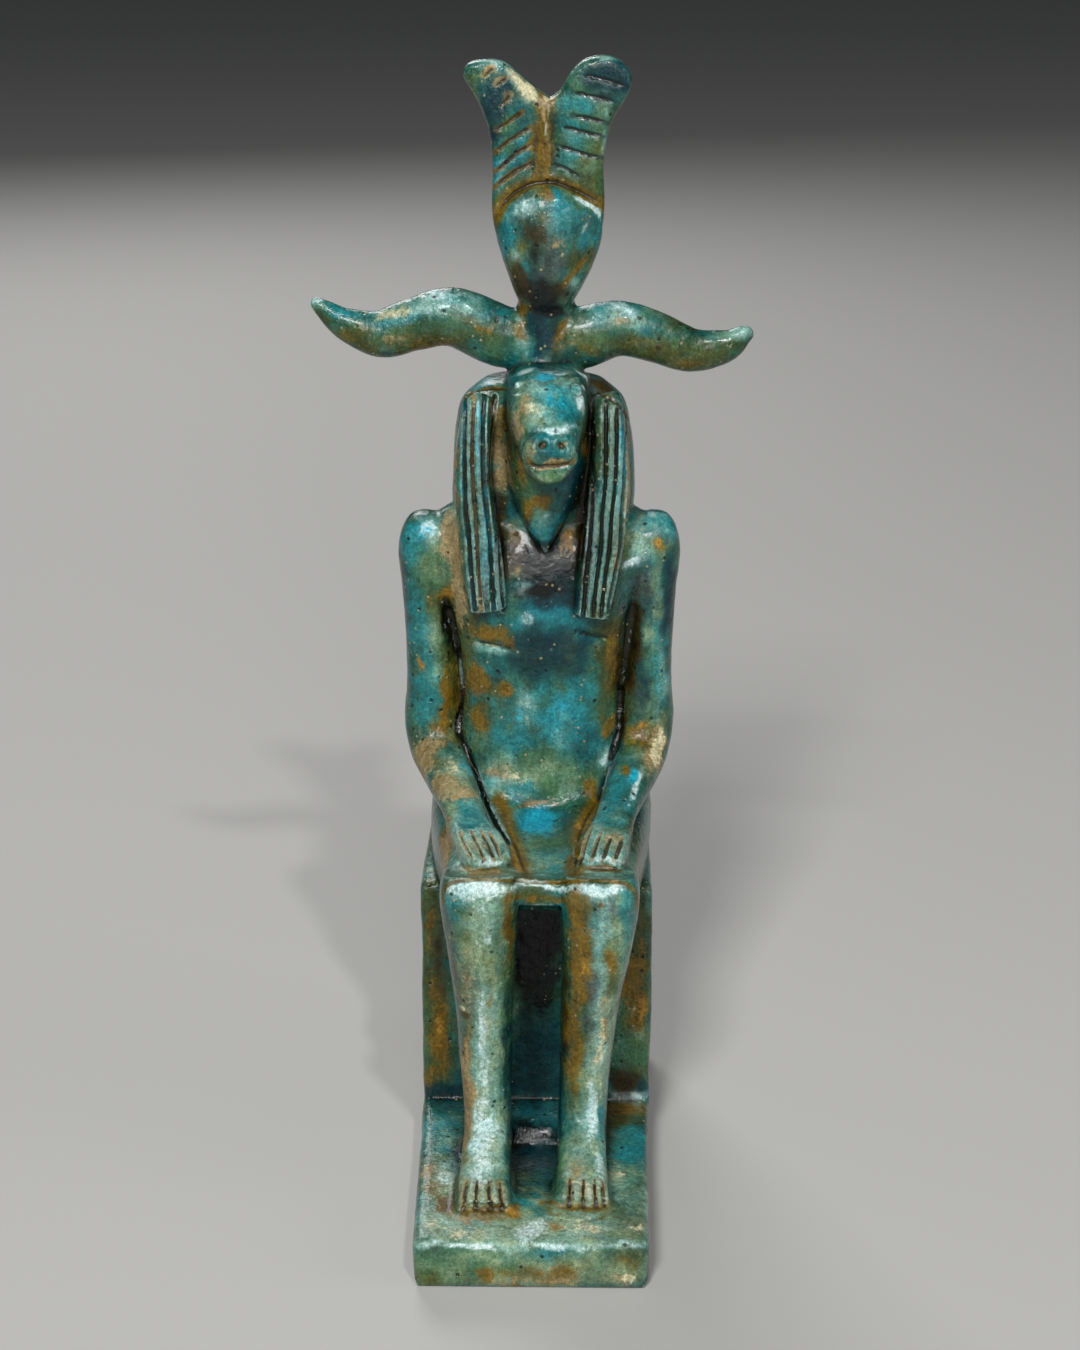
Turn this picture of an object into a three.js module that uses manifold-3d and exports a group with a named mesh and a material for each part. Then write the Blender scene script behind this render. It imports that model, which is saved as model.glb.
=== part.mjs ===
// A seated ancient Egyptian god with an animal head, wavy horns, a sun disc and two plumes,
// on a block throne and a long base, all carved from one block of soft stone and glazed.
// Millimetres, +Z up. The figure faces -Y and its left hand is at +X.
// The origin is the middle of the underside of the base.
import * as THREE from 'three';
import { mergeVertices } from 'three/addons/utils/BufferGeometryUtils.js';
import Module from 'manifold-3d';

const wasm = await Module();
wasm.setup();

// Driving dimensions. `middle` is how far a form sits off the centre line, as the carver left it.
const totalHeight = 340;
const base = { length: 145, frontWidth: 68.4, backWidth: 75.6, middle: -0.3, thickness: 15.8, edge: 2.4 };
const throne = { width: 72.8, front: 10, seatTop: 91.5, edge: 2.4 };
const backRest = { width: 67, top: 103, thickness: 9, edge: 2 };
const hollow = { back: -7, front: -49, depth: 6.3, left: -9, right: 8 };
const leg = { kneeLeft: -16.3, kneeRight: 19.6, ankle: 14.5, kneeTop: 109.2, webHalfWidth: 5.5 };
const foot = { toeTip: -55.5, rightSetBack: 2.4, halfWidth: 8.1, toes: 5 };
const lap = { top: 108.5, bottom: 101.5, hemY: -27.4, bellyY: 30 };
const torso = { middle: 0.8, y: 44, bottom: 100, top: 207 };
const arm = { leftX: -34.4, rightX: 35, shoulderZ: 193, elbowZ: 126, wristLeft: -21.6, wristRight: 24.2 };
const hand = { wristY: 3, tipY: -20, fingers: 4 };
const head = { middle: 3.4, snoutMiddle: 4.2, snoutZ: 230.2, eyeZ: 247.4 };
const wig = { middle: 1.6, y: 40, top: 246.5, lockHem: 176.5, lockRibs: 5, backRibs: 7, ribDepth: 0.16 };
const crown = { middle: 3.4, y: 38, discBottom: 266, discTop: 303.5, discHalfWidth: 15.7 };
const plume = { notchZ: 328, halfThickness: 5, barbs: 6, lowestBarb: 309.6, barbPitch: 4.7, barbDepth: 1 };
const glazeColour = 0x2f8f88;

// A closed geometry as a solid that can be joined and cut. Triangles with no area are left out.
function solidOf(geometry) {
  const bare = geometry.clone();
  bare.deleteAttribute('normal');
  bare.deleteAttribute('uv');
  const merged = mergeVertices(bare, 1e-4);
  const corners = merged.index.array;
  const kept = [];
  for (let i = 0; i < corners.length; i += 3) {
    const [a, b, c] = [corners[i], corners[i + 1], corners[i + 2]];
    if (a !== b && b !== c && c !== a) kept.push(a, b, c);
  }
  const mesh = new wasm.Mesh({
    numProp: 3,
    vertProperties: new Float32Array(merged.attributes.position.array),
    triVerts: new Uint32Array(kept),
  });
  return new wasm.Manifold(mesh);
}

function geometryOf(solid) {
  const mesh = solid.getMesh();
  const geometry = new THREE.BufferGeometry();
  geometry.setAttribute('position', new THREE.BufferAttribute(new Float32Array(mesh.vertProperties), 3));
  geometry.setIndex(new THREE.BufferAttribute(new Uint32Array(mesh.triVerts), 1));
  geometry.computeVertexNormals();
  return geometry;
}

const joined = (solids) => solids.reduce((whole, solid) => whole.add(solid));

// A rounded solid drawn through stations [x, y, z, halfWidth, halfDepth, square]. Its rings stand
// square to the path, with their width along `across`. `square` above 2 makes them boxier, `round`
// is the share of the path that each end takes to close, and `section` gives a ring's own outline,
// as points [across, deep] from -1 to 1 that start at +across and turn towards the front.
function limb(stations, options = {}) {
  const { rings = 10, square = 2, round = [0.12, 0.12], section = null } = options;
  const sides = section ? section(0).length : options.sides ?? 14;
  const across = options.across ?? new THREE.Vector3(1, 0, 0);
  const path = new THREE.CatmullRomCurve3(
    stations.map(([x, y, z]) => new THREE.Vector3(x, y, z)), false, 'catmullrom', 0.5);
  const sizes = new THREE.CatmullRomCurve3(
    stations.map(([, , , width, depth, boxiness = square]) => new THREE.Vector3(width, depth, boxiness)),
    false, 'catmullrom', 0.5);
  const geometry = new THREE.CylinderGeometry(1, 1, 1, sides, rings);
  const points = geometry.attributes.position;
  for (let i = 0; i < points.count; i++) {
    const level = points.getY(i) + 0.5;
    const along = ringPlace(level, round);
    const radius = Math.hypot(points.getX(i), points.getZ(i));
    const angle = Math.atan2(points.getZ(i), points.getX(i));
    const centre = path.getPoint(along);
    const size = sizes.getPoint(along);
    const forward = path.getTangent(along);
    const wide = across.clone().addScaledVector(forward, -across.dot(forward)).normalize();
    const deep = new THREE.Vector3().crossVectors(wide, forward);
    const swell = radius * endSwell(along, round);
    const step = (Math.round(angle / (2 * Math.PI) * sides) + sides) % sides;
    const [u, v] = section
      ? section(along)[step] : [boxy(Math.cos(angle), size.z), boxy(Math.sin(angle), size.z)];
    const widthPart = u * size.x * swell;
    const depthPart = v * size.y * swell;
    const place = centre.addScaledVector(wide, widthPart).addScaledVector(deep, depthPart);
    points.setXYZ(i, place.x, place.y, place.z);
  }
  return solidOf(geometry);
}

const boxy = (value, square) => Math.sign(value) * Math.abs(value) ** (2 / square);

// A ring that is plain on its deep side and has ribs side by side on the other. `depth` is how far
// the valleys sink, as a share of the half depth, and `sink` how far the ribs fall away at the edges.
function ribbedRing(ribs, depth, sink = 0.3) {
  const ribbed = [];
  for (let i = 0; i <= 2 * ribs; i++) {
    const u = i / ribs - 1;
    const crest = i % 2 === 1 ? 1 : 1 - depth;
    ribbed.push([u, sink * u ** 6 - crest]);
  }
  return [[1, 0.7], [0.5, 1], [-0.5, 1], [-1, 0.7], ...ribbed];
}

// Rings crowd together near a rounded end, where the skin curves most.
function ringPlace(level, [start, end]) {
  const eased = (1 - Math.cos(Math.PI * level)) / 2;
  const weight = Math.min(1, 2 * (level < 0.5 ? start : end) + 0.35);
  return start + end > 0 ? THREE.MathUtils.lerp(level, eased, weight) : level;
}

function endSwell(along, [start, end]) {
  const fromStart = start > 0 ? Math.min(1, along / start) : 1;
  const fromEnd = end > 0 ? Math.min(1, (1 - along) / end) : 1;
  return Math.sqrt(1 - (1 - fromStart) ** 2) * Math.sqrt(1 - (1 - fromEnd) ** 2);
}

// A V-shaped cut along a line of points, with its own half width and depth
function groove(points, halfWidth, depth, rings = points.length - 1, across = new THREE.Vector3(1, 0, 0)) {
  const stations = points.map((point) => [...point, halfWidth, depth]);
  return limb(stations, { sides: 4, rings, round: [0, 0], across });
}

// An egg with its own half sizes, turned if asked.
function egg([x, y, z], [halfX, halfY, halfZ], { sides = 12, rings = 8, tilt = 0 } = {}) {
  const geometry = new THREE.SphereGeometry(1, sides, rings);
  geometry.rotateX(Math.PI / 2);
  geometry.scale(halfX, halfY, halfZ);
  geometry.rotateX(tilt);
  geometry.translate(x, y, z);
  return solidOf(geometry);
}

// A flat outline in X and Y, raised to a thickness with worn, bevelled edges.
function wornSlab(outline, bottom, top, edge, segments = 2) {
  const geometry = new THREE.ExtrudeGeometry(outline, {
    depth: top - bottom - 2 * edge, bevelEnabled: true, bevelThickness: edge,
    bevelSize: edge, bevelOffset: -edge, bevelSegments: segments, curveSegments: 3,
  });
  geometry.translate(0, 0, bottom + edge);
  return solidOf(geometry);
}

// An outline in the Y and Z of a side view, drawn out from one X to another.
function sideProfile(points, left, right) {
  const outline = new THREE.Shape(points.map(([y, z]) => new THREE.Vector2(y, z)));
  const geometry = new THREE.ExtrudeGeometry(outline, { depth: right - left, bevelEnabled: false });
  const turn = new THREE.Matrix4().makeBasis(
    new THREE.Vector3(0, 1, 0), new THREE.Vector3(0, 0, 1), new THREE.Vector3(1, 0, 0));
  geometry.applyMatrix4(turn);
  geometry.translate(left, 0, 0);
  return solidOf(geometry);
}

// A trapezium with rounded corners, narrower at the front.
function trapezium(frontWidth, backWidth, frontY, backY, corner) {
  const shape = new THREE.Shape();
  const corners = [
    [-frontWidth / 2, frontY], [frontWidth / 2, frontY], [backWidth / 2, backY], [-backWidth / 2, backY],
  ].map(([x, y]) => new THREE.Vector2(x, y));
  corners.forEach((point, i) => {
    const before = corners[(i + 3) % 4].clone().sub(point).setLength(corner).add(point);
    const after = corners[(i + 1) % 4].clone().sub(point).setLength(corner).add(point);
    if (i === 0) shape.moveTo(before.x, before.y);
    else shape.lineTo(before.x, before.y);
    shape.quadraticCurveTo(point.x, point.y, after.x, after.y);
  });
  shape.closePath();
  return shape;
}

// Base with the hollow that the carver left between the feet
function basePlate() {
  const half = base.length / 2;
  const plan = trapezium(base.frontWidth, base.backWidth, -half, half, 3.5);
  const slab = wornSlab(plan, 0, base.thickness, base.edge);
  const sole = wornSlab(plan, 0, base.thickness / 2, 0.7, 1);
  const floor = base.thickness - hollow.depth;
  const cut = sideProfile([
    [hollow.back, base.thickness + 5], [hollow.back, floor], [hollow.back - 12, floor + 0.4],
    [hollow.front, base.thickness + 0.05], [hollow.front, base.thickness + 5],
  ], hollow.left, hollow.right);
  return slab.add(sole).translate([base.middle, 0, 0]).subtract(cut);
}

// Block throne with a low back rest
function throneBlock() {
  const back = base.length / 2;
  const seatPlan = trapezium(throne.width, throne.width, throne.front, back, 4);
  const seat = wornSlab(seatPlan, base.thickness - 6, throne.seatTop, throne.edge);
  const restPlan = trapezium(backRest.width, backRest.width, back - backRest.thickness, back, 3.5);
  const rest = wornSlab(restPlan, throne.seatTop - 12, backRest.top, backRest.edge);
  return seat.add(rest);
}

// One leg from the flat knee to the sole, with the web of stone left behind the calf.
// side is -1 for the leg at -X and 1 for the one at +X.
function lowerLeg(side) {
  const knee = side < 0 ? leg.kneeLeft : leg.kneeRight;
  const ankle = side * leg.ankle;
  const at = (share) => THREE.MathUtils.lerp(ankle, knee, share);
  const shin = limb([
    [ankle, -21, 14, 7.6, 9.5],
    [ankle, -20.5, 26, 7.4, 8.6],
    [at(0.1), -19.5, 40, 7.6, 9],
    [at(0.3), -18.5, 56, 8.3, 10.4],
    [at(0.55), -18.5, 72, 9.1, 11.6],
    [at(0.85), -19.5, 90, 10.4, 12.4],
    [knee, -20.5, 102, 11, 12.8, 3],
    [knee, -20.3, 107, 10.9, 12.3, 3.6],
    [knee, -19.8, leg.kneeTop, 9.8, 10.8, 3.6],
  ], { sides: 14, rings: 10, square: 2.5, round: [0, 0] });
  const web = sideProfile([
    [-16, base.thickness - 6], [throne.front + 3, base.thickness - 6], [throne.front + 3, 96], [-14, 100],
  ], at(0.4) - leg.webHalfWidth, at(0.4) + leg.webHalfWidth);
  return [shin, web];
}

// A foot whose front part is ribbed into five toes
function footOf(side) {
  const x = side * leg.ankle;
  const tip = foot.toeTip + (side < 0 ? 0 : foot.rightSetBack);
  const ground = base.thickness;
  const toes = (along) => ribbedRing(foot.toes, 0.28 * THREE.MathUtils.smoothstep(along, 0.62, 0.8));
  return limb([
    [x, -14, ground + 4, 7, 7],
    [x, -27, ground + 6, 7.3, 8.5],
    [x, -37, ground + 3.4, 7.6, 6.6],
    [x, -46, ground + 1.4, 8, 5.2],
    [x, tip + 1.5, ground + 0.2, foot.halfWidth, 4.4],
    [x, tip, ground, foot.halfWidth - 0.6, 3],
  ], { rings: 9, round: [0, 0], section: toes });
}

// Thighs under the tight kilt. The hem is the step where the cloth ends over the knees.
function lapAndThighs() {
  const solids = [-1, 1].map((side) => {
    const knee = side < 0 ? leg.kneeLeft : leg.kneeRight;
    return limb([
      [side * 20.5 + 1, 60, 100, 15, 13.5],
      [side * 19.8 + 1, 40, 101, 15.6, 13.2],
      [side * 18.6 + 1, 14, 100.6, 14.2, 12.4],
      [knee, -8, 99.8, 12, 11],
      [knee, lap.hemY, 99.4, 11.6, 10.5],
    ], { sides: 16, rings: 6, square: 3.6, round: [0, 0] });
  });
  const underside = throne.seatTop - 4;
  const sheet = sideProfile([
    [lap.hemY, lap.bottom], [lap.hemY + 11, lap.bottom - 1], [lap.hemY + 14, lap.bottom - 8],
    [throne.front + 8, underside], [lap.bellyY + 20, underside], [lap.bellyY + 20, lap.top + 6],
    [lap.bellyY - 6, lap.top + 1.5], [lap.hemY + 10, lap.top - 0.6], [lap.hemY + 1.6, lap.top + 0.9],
    [lap.hemY, lap.top],
  ], leg.kneeLeft, leg.kneeRight);
  return [...solids, sheet];
}

// Chest, waist and belly, with two low breast muscles
function trunk() {
  const { middle, y } = torso;
  const body = limb([
    [middle, y + 1, torso.bottom, 30, 19.5],
    [middle, y, 114, 29.5, 19],
    [middle, y, 126, 27, 17.4],
    [middle, y, 142, 25.4, 16.4],
    [middle, y, 158, 26.8, 17.2],
    [middle, y, 173, 29.8, 17.6],
    [middle, y, 186, 33.5, 17],
    [middle, y + 0.6, 196, 37, 13.8],
    [middle, y + 1, 201.8, 33, 10],
    [middle, y + 1, torso.top, 24, 8],
  ], { sides: 20, rings: 10, square: 2.5, round: [0, 0] });
  const breasts = [-1, 1].map((side) => egg(
    [middle + side * 13, y - 10.6, 181], [13.5, 7, 11], { sides: 10, rings: 6 }));
  return [body, ...breasts];
}

// One arm in one sweep: down from the shoulder, round the elbow and forward along the thigh
function armOf(side) {
  const x = side < 0 ? arm.leftX : arm.rightX;
  const { y } = torso;
  const wristX = side < 0 ? arm.wristLeft : arm.wristRight;
  const towardsWrist = (share) => THREE.MathUtils.lerp(x, wristX, share);
  const sweep = limb([
    [x * 0.89, y, arm.shoulderZ + 9.2, 8, 8.5],
    [x, y, arm.shoulderZ, 8.9, 9.8],
    [x, y, 180, 8.3, 9.2],
    [x * 0.985, y, 163, 7.9, 8.8],
    [x * 0.97, y, 147, 8.4, 9],
    [x * 0.975, y - 0.5, arm.elbowZ + 9, 9.1, 8.6],
    [towardsWrist(0.22), y - 6.5, arm.elbowZ, 8.7, 6.8],
    [towardsWrist(0.55), y - 19, 121, 7.5, 6.4],
    [towardsWrist(0.86), y - 31, 117.6, 6.5, 5.2],
    [wristX, y - 38, 115.4, 6.2, 4.2],
    [wristX * 0.96, y - 44, 114.2, 6.4, 3.6],
  ], { sides: 12, rings: 15, square: 2.25, round: [0.07, 0] });
  const web = limb([
    [x * 0.8, y + 6, 112, 8, 6],
    [x * 0.8, y + 6, 150, 8, 6],
    [x * 0.82, y + 5, 186, 8, 6],
  ], { sides: 8, rings: 2, square: 3, round: [0, 0] });
  return [sweep, web];
}

// Height of the top of the thighs at a place along them
function thighTop(y) {
  return THREE.MathUtils.mapLinear(y, -28, 30, 111.2, 114);
}

const wristAt = (side) => [side < 0 ? -21 : 23.2, hand.wristY];
const fingertipsAt = (side) => [side < 0 ? -12.9 : 20, hand.tipY];

// A flat hand, palm down on the thigh, ribbed into four fingers from the knuckles on
function handOf(side) {
  const [wristX, wristY] = wristAt(side);
  const [tipX, tipY] = fingertipsAt(side);
  const station = (share, width, depth) => {
    const y = THREE.MathUtils.lerp(wristY, tipY, share);
    return [THREE.MathUtils.lerp(wristX, tipX, share), y, thighTop(y) + 0.9, width, depth];
  };
  const between = (along) => 0.4 * THREE.MathUtils.smoothstep(along, 0.35, 0.6);
  const fingers = (along) => ribbedRing(hand.fingers, between(along), 0.4);
  return limb([
    station(-0.12, 6.2, 4), station(0.2, 6.6, 3.8), station(0.5, 7.3, 3.5),
    station(0.85, 7.2, 3), station(0.97, 6.6, 2.4), station(1, 6, 1.6),
  ], { rings: 8, round: [0, 0], section: fingers });
}

// The thumb lies along the inner side of the hand at +X.
function thumb() {
  const [wristX, wristY] = wristAt(1);
  const [tipX, tipY] = fingertipsAt(1);
  return limb([
    [wristX - 6, wristY - 4, thighTop(wristY) + 0.8, 1.9, 2],
    [(wristX + tipX) / 2 - 8, (wristY + tipY) / 2 - 2, thighTop(0) + 0.6, 1.8, 1.9],
    [tipX - 7.8, tipY + 3, thighTop(tipY) + 0.4, 1.5, 1.6],
  ], { sides: 6, rings: 4, round: [0, 0.2] });
}

// Wig: a boxy cap that widens to the shoulders, a ribbed fall down the back and two chest locks
function wigOf() {
  const { middle: x, y } = wig;
  const cap = limb([
    [x, y + 7, 194, 22, 11],
    [x, y + 6, 205, 27.8, 12.5],
    [x, y + 4, 218, 27.8, 15],
    [x, y + 3, 230, 26.8, 16.5],
    [x, y + 2, 239, 24.4, 16.5],
    [x, y + 2, wig.top, 16.2, 12],
  ], { sides: 18, rings: 7, square: 2.7, round: [0, 0.05] });
  const backRibs = () => ribbedRing(wig.backRibs, wig.ribDepth);
  const fall = limb([
    [x, y + 12.5, 184, 17, 6.5],
    [x, y + 12, 196, 20.5, 7.5],
    [x, y + 9.5, 212, 23, 10],
    [x, y + 6, 230, 20, 13],
  ], { rings: 5, round: [0, 0], section: backRibs });
  return [cap, fall, lockOf(-1), lockOf(1)];
}

// A chest lock, ribbed in front, from the headband down to its hem
function lockOf(side) {
  const places = side < 0
    ? [[-17.2, 4.4], [-18, 4.9], [-19.6, 5.5], [-18.4, 6], [-16.8, 6.4], [-15, 5.6]]
    : [[20, 4.6], [21.2, 4.9], [21.8, 6], [20.9, 6.6], [18.9, 6.3], [16.5, 5.5]];
  const heights = [240.5, 235, 219, 205, 191, wig.lockHem - (side < 0 ? 0 : 2)];
  const forward = [[32.5, 6], [29.5, 9], [29, 8.6], [28, 7], [27, 5.2], [27, 4.6]];
  const stations = places.map(([x, width], i) => [x, forward[i][0], heights[i], width, forward[i][1]]);
  const hair = () => ribbedRing(wig.lockRibs, wig.ribDepth);
  return limb(stations, { rings: 7, round: [0, 0], section: hair });
}

// Animal head: skull and blunt snout in one, and the throat that narrows to a point on the chest
function headOf() {
  const { middle: x, snoutMiddle, snoutZ } = head;
  const snout = limb([
    [x - 0.2, 42, 239, 12.2, 12.4, 3],
    [x - 0.3, 28, 239.2, 12.4, 12.4, 3.1],
    [x - 0.1, 18, 238.4, 11.8, 11.8, 2.9],
    [x + 0.3, 10, 235, 9.9, 10.1, 2.5],
    [snoutMiddle - 0.1, 3.5, snoutZ + 1, 8.4, 8.5, 2.1],
    [snoutMiddle, -0.5, snoutZ + 0.2, 8.1, 8.2, 2.1],
    [snoutMiddle, -3, snoutZ, 6, 6.2, 2.1],
  ], { sides: 16, rings: 9, round: [0, 0] });
  const throat = limb([
    [x - 0.3, 33, 248, 12.3, 12],
    [x - 0.3, 31.5, 238, 12.9, 13.5],
    [x - 0.5, 30.5, 229, 12.6, 12.5],
    [x - 0.9, 30, 221, 11.6, 11],
    [x - 1.2, 29.8, 212, 9.7, 9.2],
    [x - 1.4, 29.6, 205, 6.8, 7.6],
    [x - 1.2, 29.5, 199.5, 3.7, 6],
    [x - 0.8, 29.5, 194.5, 0.8, 4.6],
  ], { sides: 12, rings: 8, square: 2.4, round: [0, 0] });
  const lumps = [-1, 1].flatMap((side) => [
    egg([x + side * 9.2, 16.6, head.eyeZ], [2.1, 2.1, 1.8], { sides: 8, rings: 5 }),
    egg([snoutMiddle + side * 3.1, -2.6, snoutZ + 3], [1.9, 1.3, 1.9], { sides: 8, rings: 4 }),
  ]);
  return [snout, throat, ...lumps];
}

// Small cuts in the snout: two nostrils and the line of the mouth
function snoutCuts() {
  const { snoutMiddle: x, snoutZ: z } = head;
  const nostrils = [-1, 1].map((side) => egg(
    [x + side * 3.1, -4, z + 3], [0.9, 1.3, 1], { sides: 6, rings: 4 }));
  const mouth = groove([
    [x - 6, -1.6, z - 1.6], [x - 3, -3, z - 2.6], [x + 3, -3, z - 2.6], [x + 6, -1.6, z - 1.6],
  ], 0.6, 1, 4, new THREE.Vector3(0, 0, 1));
  return [...nostrils, mouth];
}

// Two wavy horns that spread sideways from the top of the head, the one at +X a little lower
function horns() {
  const left = [
    [4, 257, 7], [-10, 258, 9.2], [-25.2, 264, 8.8], [-37, 262, 7.8],
    [-47.3, 259.2, 7.1], [-57.5, 262, 5], [-64, 266.6, 2.8], [-67.6, 269.2, 1.3],
  ];
  const right = [
    [0, 257, 7], [12, 258, 9.2], [24, 261, 8.2], [35, 258.6, 7.6],
    [46, 254.6, 6.5], [56, 255.6, 5.2], [61.6, 259, 3], [64.2, 260.6, 1.6],
  ];
  return [left, right].map((points) => limb(
    points.map(([x, z, half]) => [x, crown.y, z, half * 0.82, half]),
    { sides: 12, rings: 12, round: [0, 0.04], across: new THREE.Vector3(0, 1, 0) }));
}

// Stalk, sun disc and the double plume behind it
function crownOf() {
  const { middle: x, y } = crown;
  const stalk = limb([
    [x - 1.5, y + 1, 240, 12, 10],
    [x - 1.5, y + 1, 252, 10.5, 9],
    [x - 1, y + 1, 262, 9, 8.5],
    [x - 0.5, y, 275, 8, 8],
  ], { sides: 12, rings: 3, round: [0, 0] });
  const disc = limb([
    [x - 1.4, y - 1, crown.discBottom, 4, 4],
    [x - 1.2, y - 1.5, 269.5, 8, 7.4],
    [x - 0.6, y - 2, 276.6, 11.6, 8.8],
    [x - 0.2, y - 2.2, 283, 14.1, 9.4],
    [x, y - 2.2, 290, crown.discHalfWidth, 9.4],
    [x, y - 2, 296, 14.2, 8.8],
    [x, y - 1.4, 300.8, 9.6, 7],
    [x, y - 0.6, crown.discTop, 4, 4],
  ], { sides: 16, rings: 9, round: [0.03, 0.03] });
  return [stalk, disc, plumes()];
}

// Outline of the double plume seen from the front, curling outwards at both tips
function plumes() {
  const { middle: x, y } = crown;
  const from = ([dx, z]) => new THREE.Vector2(x + dx, z);
  const outline = new THREE.Shape();
  outline.moveTo(x - 12, 280);
  outline.splineThru([
    [-15.2, 287.5], [-16.6, 296], [-16.6, 310], [-17.8, 320.5], [-21.8, 329.4], [-25, 334.6],
    [-23.4, 337.9], [-18.6, 338.8], [-13.8, 338.4], [-9.8, 335.8], [-5.4, 332.2], [0.2, plume.notchZ],
  ].map(from));
  outline.splineThru([
    [3.4, 330.6], [6, 335], [9.8, 338.6], [15.4, totalHeight], [20, 339], [23.4, 335.8], [24, 332],
    [22, 327.6], [18.4, 321.8], [16.8, 316], [15.8, 309], [16.2, 296], [14.6, 287.5], [11.4, 280],
  ].map(from));
  const worn = 2.2;
  const geometry = new THREE.ExtrudeGeometry(outline, {
    depth: 2 * (plume.halfThickness - worn), bevelEnabled: true, bevelThickness: worn,
    bevelSize: worn, bevelOffset: -worn, bevelSegments: 1, curveSegments: 1,
  });
  geometry.rotateX(Math.PI / 2);
  geometry.translate(0, y + plume.halfThickness - worn, 0);
  return solidOf(geometry);
}

// Slanting cuts for the barbs, steeper on the plume at -X, and two long cuts beside the middle band
function plumeCuts() {
  const face = crown.y - plume.halfThickness;
  const bandMiddle = crown.middle - 2;
  const cuts = [];
  for (const side of [-1, 1]) {
    const bandEdge = bandMiddle + side * 4;
    const fall = side < 0 ? 6 : 3.2;
    cuts.push(groove([[bandEdge, face, 302], [bandEdge + 0.5, face, plume.notchZ]], 0.8, 1.1));
    for (let i = 0; i < plume.barbs; i++) {
      const z = plume.lowestBarb + i * plume.barbPitch;
      const curl = (i / (plume.barbs - 1)) ** 2;
      const inner = [bandEdge + side * 6 * curl, face - 0.1, z];
      const outer = [crown.middle + side * (17.2 + 4.2 * curl), face + 0.5, z - fall * (1 - 0.4 * curl)];
      cuts.push(groove([inner, outer], 0.7, plume.barbDepth, 1, new THREE.Vector3(0, 0, 1)));
    }
  }
  return cuts;
}

function wholeFigure() {
  const sides = [-1, 1];
  const added = joined([
    basePlate(), throneBlock(), ...trunk(), ...lapAndThighs(),
    ...wigOf(), ...headOf(), ...horns(), ...crownOf(),
    ...sides.flatMap((side) => [...lowerLeg(side), footOf(side), ...armOf(side), handOf(side)]), thumb(),
  ]);
  return added.subtract(joined([...snoutCuts(), ...plumeCuts()]));
}

const glaze = new THREE.MeshStandardMaterial({ color: glazeColour, roughness: 0.2, metalness: 0 });
const statue = new THREE.Mesh(geometryOf(wholeFigure()), glaze);
statue.name = 'god_statue';

const part = new THREE.Group();
part.add(statue);
export default part;
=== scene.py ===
import math
import bmesh
import bpy
import numpy as np
from mathutils import Euler, Matrix, Vector, noise


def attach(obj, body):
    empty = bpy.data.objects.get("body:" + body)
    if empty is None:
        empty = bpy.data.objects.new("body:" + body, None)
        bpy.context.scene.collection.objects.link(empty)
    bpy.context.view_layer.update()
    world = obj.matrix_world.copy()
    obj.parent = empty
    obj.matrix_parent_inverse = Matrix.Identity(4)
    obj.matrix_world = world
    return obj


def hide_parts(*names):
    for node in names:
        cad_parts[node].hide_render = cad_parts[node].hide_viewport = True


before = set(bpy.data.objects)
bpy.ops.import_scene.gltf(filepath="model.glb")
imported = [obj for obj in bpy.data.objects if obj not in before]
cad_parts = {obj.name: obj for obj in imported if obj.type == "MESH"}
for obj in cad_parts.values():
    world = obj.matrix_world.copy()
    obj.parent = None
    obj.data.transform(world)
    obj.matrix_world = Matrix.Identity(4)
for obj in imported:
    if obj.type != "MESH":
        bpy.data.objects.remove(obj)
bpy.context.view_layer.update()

# the photo's camera, found from the edges of the base and throne
viewpoint = {
    "place": (0.01168, -0.6467, 0.3869),
    "pitch": 19.0,              # degrees down
    "turn": 0.9206,             # degrees to the left
    "focal": 2300.0,            # in the photo's pixels
    "photo": (1080, 1350),
}

skin = {
    "voxel": 0.45,              # mm, fineness while the forms are joined
    "triangles": 190000,        # what the finished piece is thinned to
    "softening": 3,             # passes over the whole skin
    "creaseSoftening": 14,      # passes that fill the inner corners, as thick glaze does
}


def lerp(a, b, share):
    return a + (b - a) * share


def smoothStep(low, high, value):
    t = np.clip((value - low) / (high - low), 0.0, 1.0)
    return t * t * (3.0 - 2.0 * t)


def splineAt(rows, share):
    # Catmull-Rom through the rows, the same curve that the solids follow
    last = len(rows) - 1
    place = min(max(share, 0.0), 1.0) * last
    i = min(int(place), last - 1)
    t = place - i
    p1, p2 = rows[i], rows[i + 1]
    p0 = rows[i - 1] if i > 0 else 2 * p1 - p2
    p3 = rows[i + 2] if i + 2 <= last else 2 * p2 - p1
    m1, m2 = (p2 - p0) / 2, (p3 - p1) / 2
    return ((2 * t**3 - 3 * t**2 + 1) * p1 + (t**3 - 2 * t**2 + t) * m1
            + (3 * t**2 - 2 * t**3) * p2 + (t**3 - t**2) * m2)


def endSwell(share, ends):
    start, end = ends
    fromStart = min(1.0, share / start) if start > 0 else 1.0
    fromEnd = min(1.0, (1 - share) / end) if end > 0 else 1.0
    swell = math.sqrt(1 - (1 - fromStart) ** 2) * math.sqrt(1 - (1 - fromEnd) ** 2)
    return max(swell, 0.02)


def roundRing(square):
    # a ring of a round or boxy section; u is across, v is deep
    def at(turn):
        c, s = math.cos(turn), math.sin(turn)
        power = 2.0 / square
        return math.copysign(abs(c) ** power, c), math.copysign(abs(s) ** power, s)
    return at


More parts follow.
